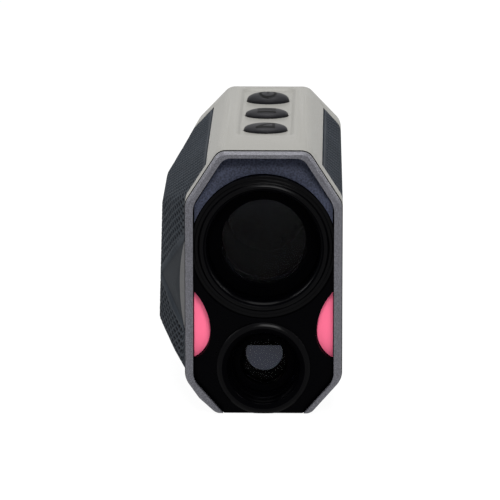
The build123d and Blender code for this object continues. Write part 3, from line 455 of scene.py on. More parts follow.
# Plastics: the keys' black marks, the near-black lens block, the grained rear cover, the pink accents.
MARK_INK = MouldedPlastic("filled_mark_black", "030303", 0.5, sheen_level=0.05)
BLOCK_PLASTIC = MouldedPlastic("moulded_polycarbonate_black", "010102", 0.25, sheen_level=0.015)
COVER_PLASTIC = MouldedPlastic(
    "grained_abs_black", "1a1b1d", 0.5, sheen_level=0.2, grain_mm=0.25, grain_depth_mm=0.02,
)
ACCENT_PLASTIC = MouldedPlastic("moulded_abs_pink", "fd7194", 0.45, sheen_level=0.1, haze=0.05)
# Anodised metal: deep black rings with faint tool lines, and dead matt black inside them.
VIEW_METAL = TurnedAnodising(
    "turned_anodised_black_view", "010102", 0.2, sheen_level=0.05, axis_height_mm=Axis.VIEW.value,
)
LASER_METAL = TurnedAnodising(
    "turned_anodised_black_laser", "010102", 0.2, sheen_level=0.05, axis_height_mm=Axis.LASER.value,
)
BAFFLE_BLACK = MouldedPlastic("matt_anodised_baffle_black", "010102", 0.8, sheen_level=0.01)
# Glass: the lenses' index is far below real glass, so that they reflect as little as coated ones.
# The prisms and the display are opaque and black, as painted shade for the dark inside; the laser window is
# opaque and grey, a painted reflection on dark glass.
LENS_GLASS = CoatedGlass("coated_optical_glass", "eef0f6", 0.0, ior=1.08, sheen_level=0.04)
# Painted shade: the prisms and the display are black, so that the inside looks dark through the lenses.
PRISM_SHADE_BLACK = MouldedPlastic("prism_glass_shade_black", "020203", 0.2, sheen_level=0.05)
# Painted reflection: the grey stands in for the glint on a dark glossy window.
WINDOW_GLASS = MouldedPlastic("infrared_window_reflection_grey", "3e414c", 0.15, sheen_level=0.3)
# Inner parts: bright steel, warm brass, green boards, black components, amber film, a wrapped cell.
STEEL = WornMetal("nickel_plated_steel", "b5b4b0", 0.3, 1.0)
BRASS = WornMetal("machined_brass", "c9a25a", 0.3, 1.0)
LAMINATE = MouldedPlastic("solder_masked_laminate", "1d5a38", 0.35)
PART_PLASTIC = MouldedPlastic("moulded_epoxy_black", "1c1c1e", 0.5)
FLEX_FILM = MouldedPlastic("polyimide_film", "b0701f", 0.3)
CELL_WRAP = MouldedPlastic("printed_cell_wrap", "3a4350", 0.3)

SLOT_FINISHES = {
    "shell_paint": SHELL_PAINT, "rim_paint": RIM_PAINT, "grip_rubber": GRIP_RUBBER,
    "cover_plastic": COVER_PLASTIC, "block_plastic": BLOCK_PLASTIC, "brow_plastic": BROW_PAINT,
    "accent_plastic": ACCENT_PLASTIC, "anodised_black": VIEW_METAL, "lens_glass": LENS_GLASS,
    "window_glass": WINDOW_GLASS, "key_rubber": KEY_RUBBER, "soft_rubber": CUP_RUBBER,
    "board_laminate": LAMINATE, "part_plastic": PART_PLASTIC, "flex_film": FLEX_FILM,
    "bright_steel": STEEL, "cell_wrap": CELL_WRAP, "insert_brass": BRASS,
}
NODE_FINISHES = {
    **dict.fromkeys((
        "objective_barrel", "objective_retainer", "laser_barrel", "laser_retainer", "laser_stop",
        "prism_case", "eyepiece_cell",
    ), BAFFLE_BLACK),
    **dict.fromkeys(("roof_prism", "half_prism", "reticle_display"), PRISM_SHADE_BLACK),
}


# ---- mesh helpers --------------------------------------------------------------------------------
def body_of_node(node: str) -> str:
    """Return the body that a node of the frame moves with."""
    return frame["nodes"][node]["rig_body"]


def finished(name: str, shape: bmesh.types.BMesh, finishes: list[Finish], replaced: list[str],
             crease: float = 35.0) -> bpy.types.Object:
    """Turn a bmesh into a finished piece that stands for nodes of the frame.

    Args:
        name: The piece's name.
        shape: Its mesh, which is freed.
        finishes: Its finishes, in the order of the faces' material numbers.
        replaced: The nodes that it stands for. It rides on the first one's body.
        crease: Edges sharper than this many degrees stay sharp.

    Returns:
        The new object.
    """
    bmesh.ops.remove_doubles(shape, verts=shape.verts, dist=0.002 * MM)
    bmesh.ops.recalc_face_normals(shape, faces=shape.faces)
    limit = math.radians(crease)
    for face in shape.faces:
        face.smooth = True
    for edge in shape.edges:
        edge.smooth = len(edge.link_faces) == 2 and edge.calc_face_angle(0.0) < limit
    mesh = bpy.data.meshes.new(name)
    shape.to_mesh(mesh)
    shape.free()
    for finish in finishes:
        mesh.materials.append(finish.build())
    piece = bpy.data.objects.new(name, mesh)
    bpy.context.scene.collection.objects.link(piece)
    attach(piece, body_of_node(replaced[0]))
    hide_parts(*replaced)
    LOG.info("%s: %d faces", name, len(mesh.polygons))
    return piece


def turned_profile(points: list[Point], height: float, rounding: float, steps: int) -> bmesh.types.BMesh:
    """Spin a closed outline round a line of sight.

    Args:
        points: Radius and depth of each corner, in millimetres, in order.
        height: Height of the axis, in millimetres.
        rounding: Radius of every corner, in millimetres.
        steps: Number of steps round the full turn.

    Returns:
        The spun solid.
    """
    shape = bmesh.new()
    corners = [shape.verts.new(millimetres(radius, depth, height)) for radius, depth in points]
    for first, second in zip(corners, corners[1:] + corners[:1]):
        shape.edges.new((first, second))
    bmesh.ops.bevel(
        shape, geom=shape.verts[:], affect="VERTICES", offset=rounding * MM, segments=3, profile=0.5,
        material=-1, clamp_overlap=True,
    )
    bmesh.ops.spin(
        shape, geom=shape.verts[:] + shape.edges[:], cent=millimetres(0, 0, height), axis=(0, 1, 0),
        angle=math.tau, steps=steps, use_merge=True,
    )
    return shape


def node_mesh(node: str, whole: bool = True) -> bmesh.types.BMesh:
    """Return a merged copy of a node's mesh.

    Args:
        node: The node.
        whole: Whether its flat faces are made whole or left as triangles.

    Returns:
        The copy, which the caller frees.
    """
    shape = bmesh.new()
    shape.from_mesh(frame["nodes"][node].data)
    bmesh.ops.remove_doubles(shape, verts=shape.verts, dist=0.001 * MM)
    if whole:
        bmesh.ops.dissolve_limit(
            shape, angle_limit=math.radians(0.6), verts=shape.verts, edges=shape.edges,
            delimit={"NORMAL"},
        )
    return shape


def round_edges(shape: bmesh.types.BMesh, width: float, angle: float = 28.0, segments: int = 2,
                wanted: Callable[[bmesh.types.BMEdge], bool] | None = None) -> None:
    """Round the sharp edges of a shape.

    Args:
        shape: The shape.
        width: Width of the rounding, in millimetres.
        angle: Edges sharper than this many degrees are rounded.
        segments: Steps across the rounding.
        wanted: Which of those edges are rounded, by default all.
    """
    limit = math.radians(angle)
    sharp = [
        edge for edge in shape.edges
        if len(edge.link_faces) == 2 and edge.calc_face_angle(0.0) > limit and (not wanted or wanted(edge))
    ]
    bmesh.ops.bevel(
        shape, geom=sharp, affect="EDGES", offset=width * MM, segments=segments, profile=0.5,
        material=-1, clamp_overlap=True, miter_outer="ARC",
    )


def paint_joint_shade(shape: bmesh.types.BMesh, neighbours: list[str], reach: float = 1.0) -> None:
    """Give the second finish to faces that look at a neighbour close by, as painted shade in the narrow gap
    between them.

    Args:
        shape: The painted piece.
        neighbours: Nodes that it meets.
        reach: How close they are, in millimetres.
    """
    pull, lift = 0.02, 0.01 * MM
    trees = []
    for node in neighbours:
        source = bmesh.new()
        source.from_mesh(frame["nodes"][node].data)
        trees.append(BVHTree.FromBMesh(source))
        source.free()
    shape.normal_update()
    for face in shape.faces:
        middle = face.calc_center_median()
        starts = [vert.co.lerp(middle, pull) + face.normal * lift for vert in face.verts]
        starts.append(middle + face.normal * lift)
        if any(tree.ray_cast(start, face.normal, reach * MM)[0] for tree in trees for start in starts):
            face.material_index = 1


def softened(node: str, width: float, finish: Finish, angle: float = 28.0, segments: int = 2,
             neighbours: tuple[str, ...] = ()) -> bpy.types.Object:
    """Copy a node's mesh, round its sharp edges and finish it.

    Args:
        node: The node that the piece stands for.
        width: Width of the rounding, in millimetres.
        finish: The piece's finish.
        angle: Edges sharper than this many degrees are rounded.
        segments: Steps across the rounding.
        neighbours: Nodes towards which its faces are painted black, as painted shade in the gaps.

    Returns:
        The new object.
    """
    shape = node_mesh(node)
    # Painted shade: faces that look into a narrow gap take the black second finish.
    paint_joint_shade(shape, list(neighbours))
    round_edges(shape, width, angle, segments)
    return finished(node + "_moulded", shape, [finish, BLOCK_PLASTIC], [node])


# ---- grips ---------------------------------------------------------------------------------------
@dataclass
class Grip:
    """A rubber grip with a net of raised ridges, a smooth border and, on the left, smooth facets.

    Sizes are in millimetres. Depths are counted from the front face of the rim.
    """

    node: str
    side: int
    pitch_depth: float = 3.35
    pitch_round: float = 2.1
    relief: float = 0.65
    border: float = 0.9
    ridge_half: float = 0.12
    ridge_slope: float = 0.26
    ramp: float = 0.35
    samples: int = 6
    section_points: int = 160
    inset: float = 0.02
    far_m: float = 0.1
    thickness: float = 1.2
    lower_corner: float = 6.0
    facets: bool = False
    facet_high: float = 46.5
    facet_low: float = 20.5
    facet_tip: tuple[float, float] = (35.0, 31.0)
    facet_sink: float = 0.3
    facet_shade: float = 0.3
    scallop_low: float = 20.0
    scallop_high: float = 46.0
    scallop_bite: float = 4.6
    tree: BVHTree = field(init=False)

    def __post_init__(self) -> None:
        """Read the grip's place from the frame."""
        self.low, self.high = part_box(self.node)
        source = bmesh.new()
        source.from_mesh(frame["nodes"][self.node].data)
        self.tree = BVHTree.FromBMesh(source)
        source.free()
        self.front_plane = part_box("front_rim")[0].y
        self.inner_x = self.high.x if self.side < 0 else self.low.x
        self.front = self.low.y
        self.rear = self.high.y

    def scallop_edge(self, height: float) -> float:
        """Return how far back the front edge lies at a height, in metres."""
        if not self.facets:
            return 0.0
        half = (self.scallop_high - self.scallop_low) / 2 * MM
        middle = (self.scallop_high + self.scallop_low) / 2 * MM
        bite = self.scallop_bite * MM
        radius = (half**2 + bite**2) / (2 * bite)
        off = abs(height - middle)
        if off >= half:
            return 0.0
        return math.sqrt(radius**2 - off**2) - (radius - bite)

    def floor(self, depth: float) -> float:
        """Return the height of the lower edge at a depth, round both lower corners."""
        radius = self.lower_corner * MM
        near = min(depth - self.front, self.rear - depth)
        if near >= radius:
            return self.low.z
        return self.low.z + radius - math.sqrt(max(radius**2 - (radius - near)**2, 0.0))

    def surface_x(self, depth: float, height: float) -> float | None:
        """Return the outer surface's X at a depth and a height."""
        inset = self.inset * MM
        start = Vector((self.side * self.far_m, within(depth, self.front + inset, self.rear - inset), height))
        hit = self.tree.ray_cast(start, Vector((-self.side, 0, 0)))[0]
        return hit.x if hit else None

    def section(self, depth: float, count: int) -> tuple[np.ndarray, float]:
        """Sample the outer surface at a depth, from the upper edge down, at equal steps of its length.

        Args:
            depth: The depth, in metres.
            count: Number of steps.

        Returns:
            The heights of count + 1 points, and the length of the section.
        """
        inset = self.inset * MM
        safe = within(depth, self.front + inset, self.rear - inset)
        start = Vector((self.inner_x + self.side * inset, safe, self.far_m))
        top = self.tree.ray_cast(start, Vector((0, 0, -1)))[0]
        heights = np.linspace(top.z, self.floor(safe) + inset, self.section_points)
        points = []
        for height in heights:
            x = self.surface_x(safe, height)
            if x is not None:
                points.append((x, height))
        line = np.array(points)
        steps = np.hypot(*np.diff(line, axis=0).T)
        run = np.concatenate([[0.0], np.cumsum(steps)])
        return np.interp(np.linspace(0, run[-1], count + 1), run, line[:, 1]), run[-1]

    def facet_distance(self, depth: float, height: float) -> float:
        """Return the distance inside the facets' outline, negative outside it."""
        tip = Vector((self.front_plane + self.facet_tip[0] * MM, self.facet_tip[1] * MM))
        distances = []
        for corner_height, sign in ((self.facet_high, 1), (self.facet_low, -1)):
            corner = Vector((self.front, corner_height * MM))
            along = (tip - corner).normalized()
            across = Vector((-along.y, along.x)) * sign
            distances.append(-across.dot(Vector((depth, height)) - corner))
        return min(distances)

    def relief_at(self, u: float, v: float, edge: float, facet: float) -> tuple[float, float]:
        """Return how far the surface sinks at a point, in metres, and how much of a crest it is.

        Args:
            u: Place along the depth, in pitches.
            v: Place round the section, in pitches.
            edge: Distance to the nearest edge of the grip.
            facet: Distance inside the facets' outline, negative outside.

        Returns:
            The depth of the sink, and 1 on a crest down to 0 in a pit, which sets the painted shade; on the
            facets it drops by up to facet_shade.
        """
        border = self.border * MM
        ramp = self.ramp * MM
        # Painted shade: the facets lose up to facet_shade of their crest share, which darkens them.
        if facet > 0:
            share = within((facet - border / 2) / ramp)
            return self.facet_sink * MM * share, 1.0 - self.facet_shade * share
        first = (u + v) % 1.0
        second = (u - v) % 1.0
        near = min(min(first, 1 - first), min(second, 1 - second))
        pit = within((near - self.ridge_half) / self.ridge_slope)
        pit = pit * pit * (3 - 2 * pit)
        open_share = within((min(edge, -facet) - border) / ramp)
        return self.relief * MM * pit * open_share, 1.0 - pit * open_share

    def build(self) -> bpy.types.Object:
        """Model the grip over the frame's plain one."""
        length = self.rear - self.front
        across = round(length / (self.pitch_depth * MM) * self.samples)
        middle = self.section((self.front + self.rear) / 2, 10)[1]
        down = round(middle / (self.pitch_round * MM) * self.samples)
        shape = bmesh.new()
        crest = shape.verts.layers.float.new(CREST)
        bmesh.ops.create_grid(shape, x_segments=across, y_segments=down, size=0.5)
        columns: dict[int, tuple[np.ndarray, float]] = {}
        places = {}
        for vert in shape.verts:
            column = round((vert.co.x + 0.5) * across)
            row = round((0.5 - vert.co.y) * down)
            if column not in columns:
                columns[column] = self.section(self.front + length * column / across, down)
            heights, run = columns[column]
            height = heights[row]
            bite = self.scallop_edge(height)
            depth = self.front + bite + (length - bite) * column / across
            x = self.surface_x(depth, height)
            edge = min(depth - self.front - bite, self.rear - depth, run * row / down, run * (1 - row / down))
            places[vert] = (depth, row, edge)
            vert.co = Vector((x if x is not None else self.inner_x, depth, height))
        bmesh.ops.recalc_face_normals(shape, faces=shape.faces)
        if sum(face.normal.x for face in shape.faces) * self.side < 0:
            bmesh.ops.reverse_faces(shape, faces=shape.faces)
        shape.normal_update()
        sinks = {}
        for vert, (depth, row, edge) in places.items():
            facet = self.facet_distance(depth, vert.co.z) if self.facets else -1.0
            u = (depth - self.front) / (self.pitch_depth * MM)
            # The crest share carries the painted shade in the hollows and on the facets.
            sink, vert[crest] = self.relief_at(u, row / self.samples, edge, facet)
            sinks[vert] = vert.normal * sink
        bmesh.ops.solidify(shape, geom=shape.faces[:], thickness=self.thickness * MM)
        for vert in (vert for vert in places if vert.is_valid):
            vert.co -= sinks[vert]
        return finished(self.node + "_knurled", shape, [GRIP_RUBBER], [self.node], crease=60.0)


# ---- front ---------------------------------------------------------------------------------------
@dataclass
class FrontRim:
    """The rim round the front, with a broad slope that faces outwards. Sizes are in millimetres."""

    outer_corner: float = 2.4
    inner_corner: float = 1.8
    slope: float = 0.9
    rear_slope: float = 0.7
    rounding: float = 0.2
    corner_angle: float = 20.0
    corner_steps: int = 6
    edge_angle: float = 60.0
    trim_angle: float = 25.0
    foot: float = 4.0
    core_low: float = 20.0
    core_high: float = 50.0
    near: float = 0.02
    sole: float = 0.05
    straight: float = 0.95

    def build(self) -> bpy.types.Object:
        """Draw the rim forward from its rear face, and round its corners and edges."""
        shape = node_mesh("front_rim", whole=False)
        front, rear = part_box("front_rim")[0].y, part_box("front_rim")[1].y
        near, foot = self.near * MM, self.foot * MM
        kept = [face for face in shape.faces if all(abs(vert.co.y - rear) < near for vert in face.verts)]
        bmesh.ops.delete(shape, geom=list(set(shape.faces) - set(kept)), context="FACES")
        bmesh.ops.dissolve_limit(
            shape, angle_limit=math.radians(1), verts=shape.verts[:], edges=shape.edges[:],
        )
        made = bmesh.ops.extrude_face_region(shape, geom=shape.faces[:])["geom"]
        ahead = [part for part in made if isinstance(part, bmesh.types.BMVert)]
        for vert in ahead:
            vert.co.y = front
        bmesh.ops.recalc_face_normals(shape, faces=shape.faces[:])
        for width, outer in ((self.outer_corner, True), (self.inner_corner, False)):
            round_edges(
                shape, width, self.corner_angle, self.corner_steps,
                lambda edge: self.lengthwise(edge, foot) and self.outside(edge) == outer,
            )
        round_edges(
            shape, self.slope, self.edge_angle, 1,
            lambda edge: self.in_front(edge, front + near) and self.outside(edge),
        )
        round_edges(
            shape, self.rear_slope, self.edge_angle, 1,
            lambda edge: min(vert.co.y for vert in edge.verts) > rear - near and self.outside(edge)
            and min(vert.co.z for vert in edge.verts) > foot,
        )
        round_edges(
            shape, self.rounding, self.edge_angle, 2, lambda edge: self.in_front(edge, front + near),
        )
        round_edges(
            shape, self.rounding, self.trim_angle, 2, lambda edge: not self.lengthwise(edge, -foot),
        )
        return finished("front_rim_moulded", shape, [RIM_PAINT], ["front_rim"])

    def lengthwise(self, edge: bmesh.types.BMEdge, lowest: float) -> bool:
        """Return whether an edge runs along the depth and lies above a height."""
        ends = edge.verts
        run = ends[1].co - ends[0].co
        return abs(run.y) > self.straight * run.length and min(vert.co.z for vert in ends) > lowest

    def in_front(self, edge: bmesh.types.BMEdge, nearest: float) -> bool:
        """Return whether an edge lies in the front face, above the foot."""
        return all(vert.co.y < nearest and vert.co.z > self.sole * MM for vert in edge.verts)

    def outside(self, edge: bmesh.types.BMEdge) -> bool:
        """Return whether an edge belongs to the outer outline, so that its faces look away from the core."""
        middle = (edge.verts[0].co + edge.verts[1].co) / 2
        core = within(middle.z, self.core_low * MM, self.core_high * MM)
        away = Vector((middle.x, 0, middle.z - core)).normalized()
        faces = [face for face in edge.link_faces if abs(face.normal.y) < 0.5]
        return bool(faces) and sum(face.normal.dot(away) for face in faces) > 0


@dataclass
class LensRing:
    """A turned bezel round a lens, in millimetres from the front face of the rim."""

    node: str
    height: float
    finish: Finish
    points: list[Point]
    trims: list[tuple[Place, Place]]
    rounding: float
    steps: int = 192

    def build(self) -> bpy.types.Object:
        """Spin the bezel, trim it where the rim or the base ends it, and blacken its inside."""
        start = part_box("front_rim")[0].y / MM
        placed = [(radius, depth + start) for radius, depth in self.points]
        shape = turned_profile(placed, self.height, self.rounding, self.steps)
        for place, outward in self.trims:
            cut = bmesh.ops.bisect_plane(
                shape, geom=shape.verts[:] + shape.edges[:] + shape.faces[:],
                plane_co=millimetres(*place), plane_no=outward, clear_outer=True,
            )["geom_cut"]
            edges = [part for part in cut if isinstance(part, bmesh.types.BMEdge)]
            bmesh.ops.holes_fill(shape, edges=edges)
        shape.normal_update()
        for face in shape.faces:
            middle = face.calc_center_median()
            out = Vector((middle.x, 0, middle.z - self.height * MM))
            if out.length < self.points[0][0] * MM and face.normal.dot(out) < 0:
                face.material_index = 1
        return finished(self.node + "_turned", shape, [self.finish, BAFFLE_BLACK], [self.node], crease=30.0)


VIEW_RING = LensRing(
    "objective_bezel", Axis.VIEW.value, VIEW_METAL,
    [
        (16.1, 0.6), (16.6, 0.62), (17.1, 0.9), (17.5, 1.4), (18.3, 1.4), (18.3, 1.7), (19.3, 1.7),
        (19.3, 6.2), (15.9, 6.2), (15.9, 10.6), (14.9, 10.6), (14.9, 1.8), (15.5, 1.1),
    ],
    trims=[((-18.6, 0, 0), (-1, 0, 0)), ((18.6, 0, 0), (1, 0, 0))], rounding=0.12,
)
LASER_RING = LensRing(
    "laser_bezel", Axis.LASER.value, LASER_METAL,
    [
        (11.1, 0.3), (11.7, 0.42), (12.2, 0.7), (12.6, 1.0), (12.6, 1.3), (9.9, 1.3), (9.9, 9.0),
        (8.0, 9.0), (8.0, 5.9), (8.6, 5.3), (8.6, 4.4), (9.2, 3.8), (9.2, 3.0), (9.8, 2.3), (9.8, 1.4),
    ],
    trims=[((0, 0, 0.1), (0, 0, -1))], rounding=0.1,
)


class Sign(Enum):
    """What each key is marked with: on and off, a list, and a slope."""

    POWER = "power_key"
    LIST = "mode_key"
    SLOPE = "slope_key"


@dataclass
class Key:
    """A domed key with steep sides and a raised black mark. Sizes are in millimetres."""

    sign: Sign
    height: float
    length: float = 11.7
    width: float = 9.9
    fullness: float = 2.3
    skirt_depth: float = 2.2
    mark_half: float = 2.2
    mark_stretch: float = 1.5
    stroke: float = 0.75
    mark_forward: float = 0.6
    mark_proud: float = 0.03
    mark_thickness: float = 0.1
    mark_step: float = 0.4
    bar_start: float = 0.1
    list_pitch: float = 1.4
    slope_base: float = -0.7
    slope_top: float = 0.8
    ring_share: float = 0.95
    ring_gap: float = 76.0
    ring_steps: int = 24
    rings: int = 20
    round_steps: int = 96

    def surface(self, x: float, y: float) -> float:
        """Return the height of the key's face over a point, counted from its root."""
        share = min(math.hypot(2 * x / self.length, 2 * y / self.width), 1.0)
        return self.height * max(1 - share**self.fullness, 0.0)**(1 / self.fullness)

    def strokes(self) -> list[list[Point]]:
        """Return the mark as lines of points in X and depth."""
        half = self.mark_half
        if self.sign is Sign.LIST:
            return [[(-half, row), (half, row)] for row in (-self.list_pitch, 0.0, self.list_pitch)]
        if self.sign is Sign.SLOPE:
            low, high = half * self.slope_base, half * self.slope_top
            return [[(-half, low), (half, low), (half, high), (-half, low)]]
        sweep = 360 - self.ring_gap
        turns = [
            math.radians(90 + self.ring_gap / 2 + sweep * step / self.ring_steps)
            for step in range(self.ring_steps + 1)
        ]
        radius = half * self.ring_share
        ring = [(radius * math.cos(turn), radius * math.sin(turn)) for turn in turns]
        return [ring, [(0.0, self.bar_start), (0.0, half)]]

    def add_stroke(self, shape: bmesh.types.BMesh, line: list[Point], centre: Vector, root: float) -> None:
        """Lay one thick line on the key's face.

        Args:
            shape: The mark, which the line is added to.
            line: Points in X and depth, in millimetres from the key's middle.
            centre: The key's middle.
            root: Height of the foot of the dome, in metres.
        """
        for (x0, y0), (x1, y1) in zip(line, line[1:]):
            length = math.hypot(x1 - x0, y1 - y0)
            along = ((x1 - x0) / length, (y1 - y0) / length)
            made = bmesh.ops.create_grid(
                shape, x_segments=max(round(length / self.mark_step), 1), y_segments=2, size=0.5,
            )
            for vert in made["verts"]:
                run = (vert.co.x + 0.5) * (length + self.stroke) - self.stroke / 2
                across = vert.co.y * self.stroke
                x = x0 + along[0] * run - along[1] * across
                y = (y0 + along[1] * run + along[0] * across) * self.mark_stretch - self.mark_forward
                vert.co = Vector((
                    centre.x + x * MM, centre.y + y * MM, root + (self.surface(x, y) + self.mark_proud) * MM,
                ))

    def build(self) -> None:
        """Draw the key down from a disc, and lay its mark on it."""
        node = self.sign.value
        low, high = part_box(node)
        centre = (low + high) / 2
        root = high.z - self.height * MM
        shape = bmesh.new()
        bmesh.ops.create_circle(shape, cap_ends=True, cap_tris=True, segments=self.round_steps, radius=1.0)
        spokes = [edge for edge in shape.edges if min(v.co.length for v in edge.verts) < 0.5]
        bmesh.ops.subdivide_edges(shape, edges=spokes, cuts=self.rings, use_grid_fill=True)
        for vert in shape.verts:
            if vert.co.length > 0:
                vert.co *= math.sin(vert.co.length * math.pi / 2) / vert.co.length
            x, y = vert.co.x * self.length / 2, vert.co.y * self.width / 2
            vert.co = Vector((centre.x + x * MM, centre.y + y * MM, root + self.surface(x, y) * MM))
        edge_loop = [edge for edge in shape.edges if len(edge.link_faces) == 1]
        walls = bmesh.ops.extrude_edge_only(shape, edges=edge_loop)["geom"]
        skirt = [part for part in walls if isinstance(part, bmesh.types.BMVert)]
        for vert in skirt:
            vert.co.z -= self.skirt_depth * MM
        bmesh.ops.holes_fill(shape, edges=[edge for edge in shape.edges if len(edge.link_faces) == 1])
        finished(node + "_moulded", shape, [KEY_RUBBER], [node], crease=50.0)
        mark = bmesh.new()
        for line in self.strokes():
            self.add_stroke(mark, line, centre, root)
        bmesh.ops.solidify(mark, geom=mark.faces[:], thickness=self.mark_thickness * MM)
        finished(node + "_mark", mark, [MARK_INK], [node], crease=50.0)


@dataclass
class Lens:
    """A lens with true curves, in millimetres. Depths are counted from the front face of the rim."""

    node: str
    height: float
    radius: float
    front: float
    front_bulge: float
    rear: float
    rear_bulge: float
    arc_steps: int = 24
    round_steps: int = 96
    axis_gap_m: float = 1e-9

    def arc(self, edge: float, bulge: float) -> list[Point]:
        """Return radius and depth along one face, from the lens's edge to its axis.

        Args:
            edge: Depth of the face at the edge.
            bulge: How much further back the face lies on the axis.

        Returns:
            The points of the arc.
        """
        sphere = (self.radius**2 + bulge**2) / (2 * abs(bulge))
        points = []
        for step in range(self.arc_steps + 1):
            across = self.radius * (1 - step / self.arc_steps)
            rise = math.sqrt(sphere**2 - across**2) - (sphere - abs(bulge))
            points.append((across, edge + math.copysign(rise, bulge)))
        return points

    def build(self) -> bpy.types.Object:
        """Spin the lens round its axis."""
        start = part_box("front_rim")[0].y / MM
        outline = self.arc(self.front, -self.front_bulge) + self.arc(self.rear, self.rear_bulge)[::-1]
        shape = bmesh.new()
        corners = [
            shape.verts.new(millimetres(radius, depth + start, self.height)) for radius, depth in outline
        ]
        chain = corners + corners[:1]
        for first, second in zip(chain[:self.arc_steps + 1], chain[1:]):
            if max(first.co.x, second.co.x) > self.axis_gap_m:
                shape.edges.new((first, second))
        for first, second in zip(corners[self.arc_steps + 1:], chain[self.arc_steps + 2:]):
            shape.edges.new((first, second))
        bmesh.ops.spin(
            shape, geom=shape.verts[:] + shape.edges[:], cent=millimetres(0, 0, self.height),
            axis=(0, 1, 0), angle=math.tau, steps=self.round_steps, use_merge=True,
        )
        return finished(self.node + "_ground", shape, [LENS_GLASS], [self.node], crease=30.0)


LENSES = (
    Lens("objective_crown_lens", Axis.VIEW.value, 12.42, 9.6, 1.2, 12.2, 1.4),
    Lens("laser_lens", Axis.LASER.value, 6.82, 9.6, 0.7, 12.2, -0.35),
    Lens("eye_lens", Axis.VIEW.value, 9.95, 97.4, 1.8, 101.0, 0.8),
)


@dataclass
class ShellHalf:
    """One half of the painted shell, with soft edges and black painted shade at its joints. Sizes are in
    millimetres.
    """

    node: str
    edge: float = 0.22
    trough_edge: float = 0.75
    trough_half: float = 9.4
    trough_front: float = 21.0
    trough_reach: float = 3.2

    def in_trough(self, edge: bmesh.types.BMEdge) -> bool:
        """Return whether an edge belongs to the recess round the keys."""
        lowest = CAD_BOX[1][2] - self.trough_reach * MM
        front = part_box("front_rim")[0].y + self.trough_front * MM
        return all(
            vert.co.z > lowest and abs(vert.co.x) < self.trough_half * MM and vert.co.y > front
            for vert in edge.verts
        ) and not self.in_hole(edge)

    def in_hole(self, edge: bmesh.types.BMEdge) -> bool:
        """Return whether an edge belongs to one of the keys' holes."""
        for sign in Sign:
            low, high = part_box(sign.value)
            middle, half = (low.y + high.y) / 2, (high.y - low.y) / 2
            if all(abs(vert.co.x) < high.x and abs(vert.co.y - middle) < half for vert in edge.verts):
                return True
        return False

    def build(self) -> bpy.types.Object:
        """Copy the plain half, paint shade on its joints and soften its edges."""
        shape = node_mesh(self.node)
        # Painted shade: faces that look into the gaps at the joints take the black second finish.
        paint_joint_shade(shape, ["front_rim", "grip_left", "grip_right", "rear_cover", "lens_block"])
        if self.node == "upper_shell":
            round_edges(shape, self.trough_edge, angle=25.0, segments=4, wanted=self.in_trough)
        round_edges(shape, self.edge, angle=40.0)
        return finished(self.node + "_painted", shape, [SHELL_PAINT, BLOCK_PLASTIC], [self.node])


# ---- stage ---------------------------------------------------------------------------------------
@dataclass(frozen=True)
class Lamp:
    """One rectangular soft lamp that faces the object. Places and sizes are in metres."""

    name: str
    place: Place
    size: Point
    watts: float
    aim: Place = (0.0, 0.0, 0.04)

    def build(self) -> None:
        """Hang the lamp and turn it to its aim."""
        data = bpy.data.lights.new(self.name, "AREA")
        data.shape = "RECTANGLE"
        data.size, data.size_y = self.size
        data.energy = self.watts
        lamp = bpy.data.objects.new(self.name, data)
        bpy.context.scene.collection.objects.link(lamp)
        lamp.location = self.place
        way = Vector(self.aim) - Vector(self.place)
        lamp.rotation_euler = way.to_track_quat("-Z", "Y").to_euler()


LAMPS = (
    Lamp("softbox_over", (0.0, 0.05, 0.95), (0.6, 0.6), 10.0),
    Lamp("softbox_front", (0.15, -0.95, 0.80), (0.5, 0.4), 9.5),
    Lamp("strip_left", (-0.62, -0.15, 0.52), (0.015, 0.35), 2.0),
    Lamp("strip_right", (0.66, -0.12, 0.46), (0.015, 0.35), 1.2),
)


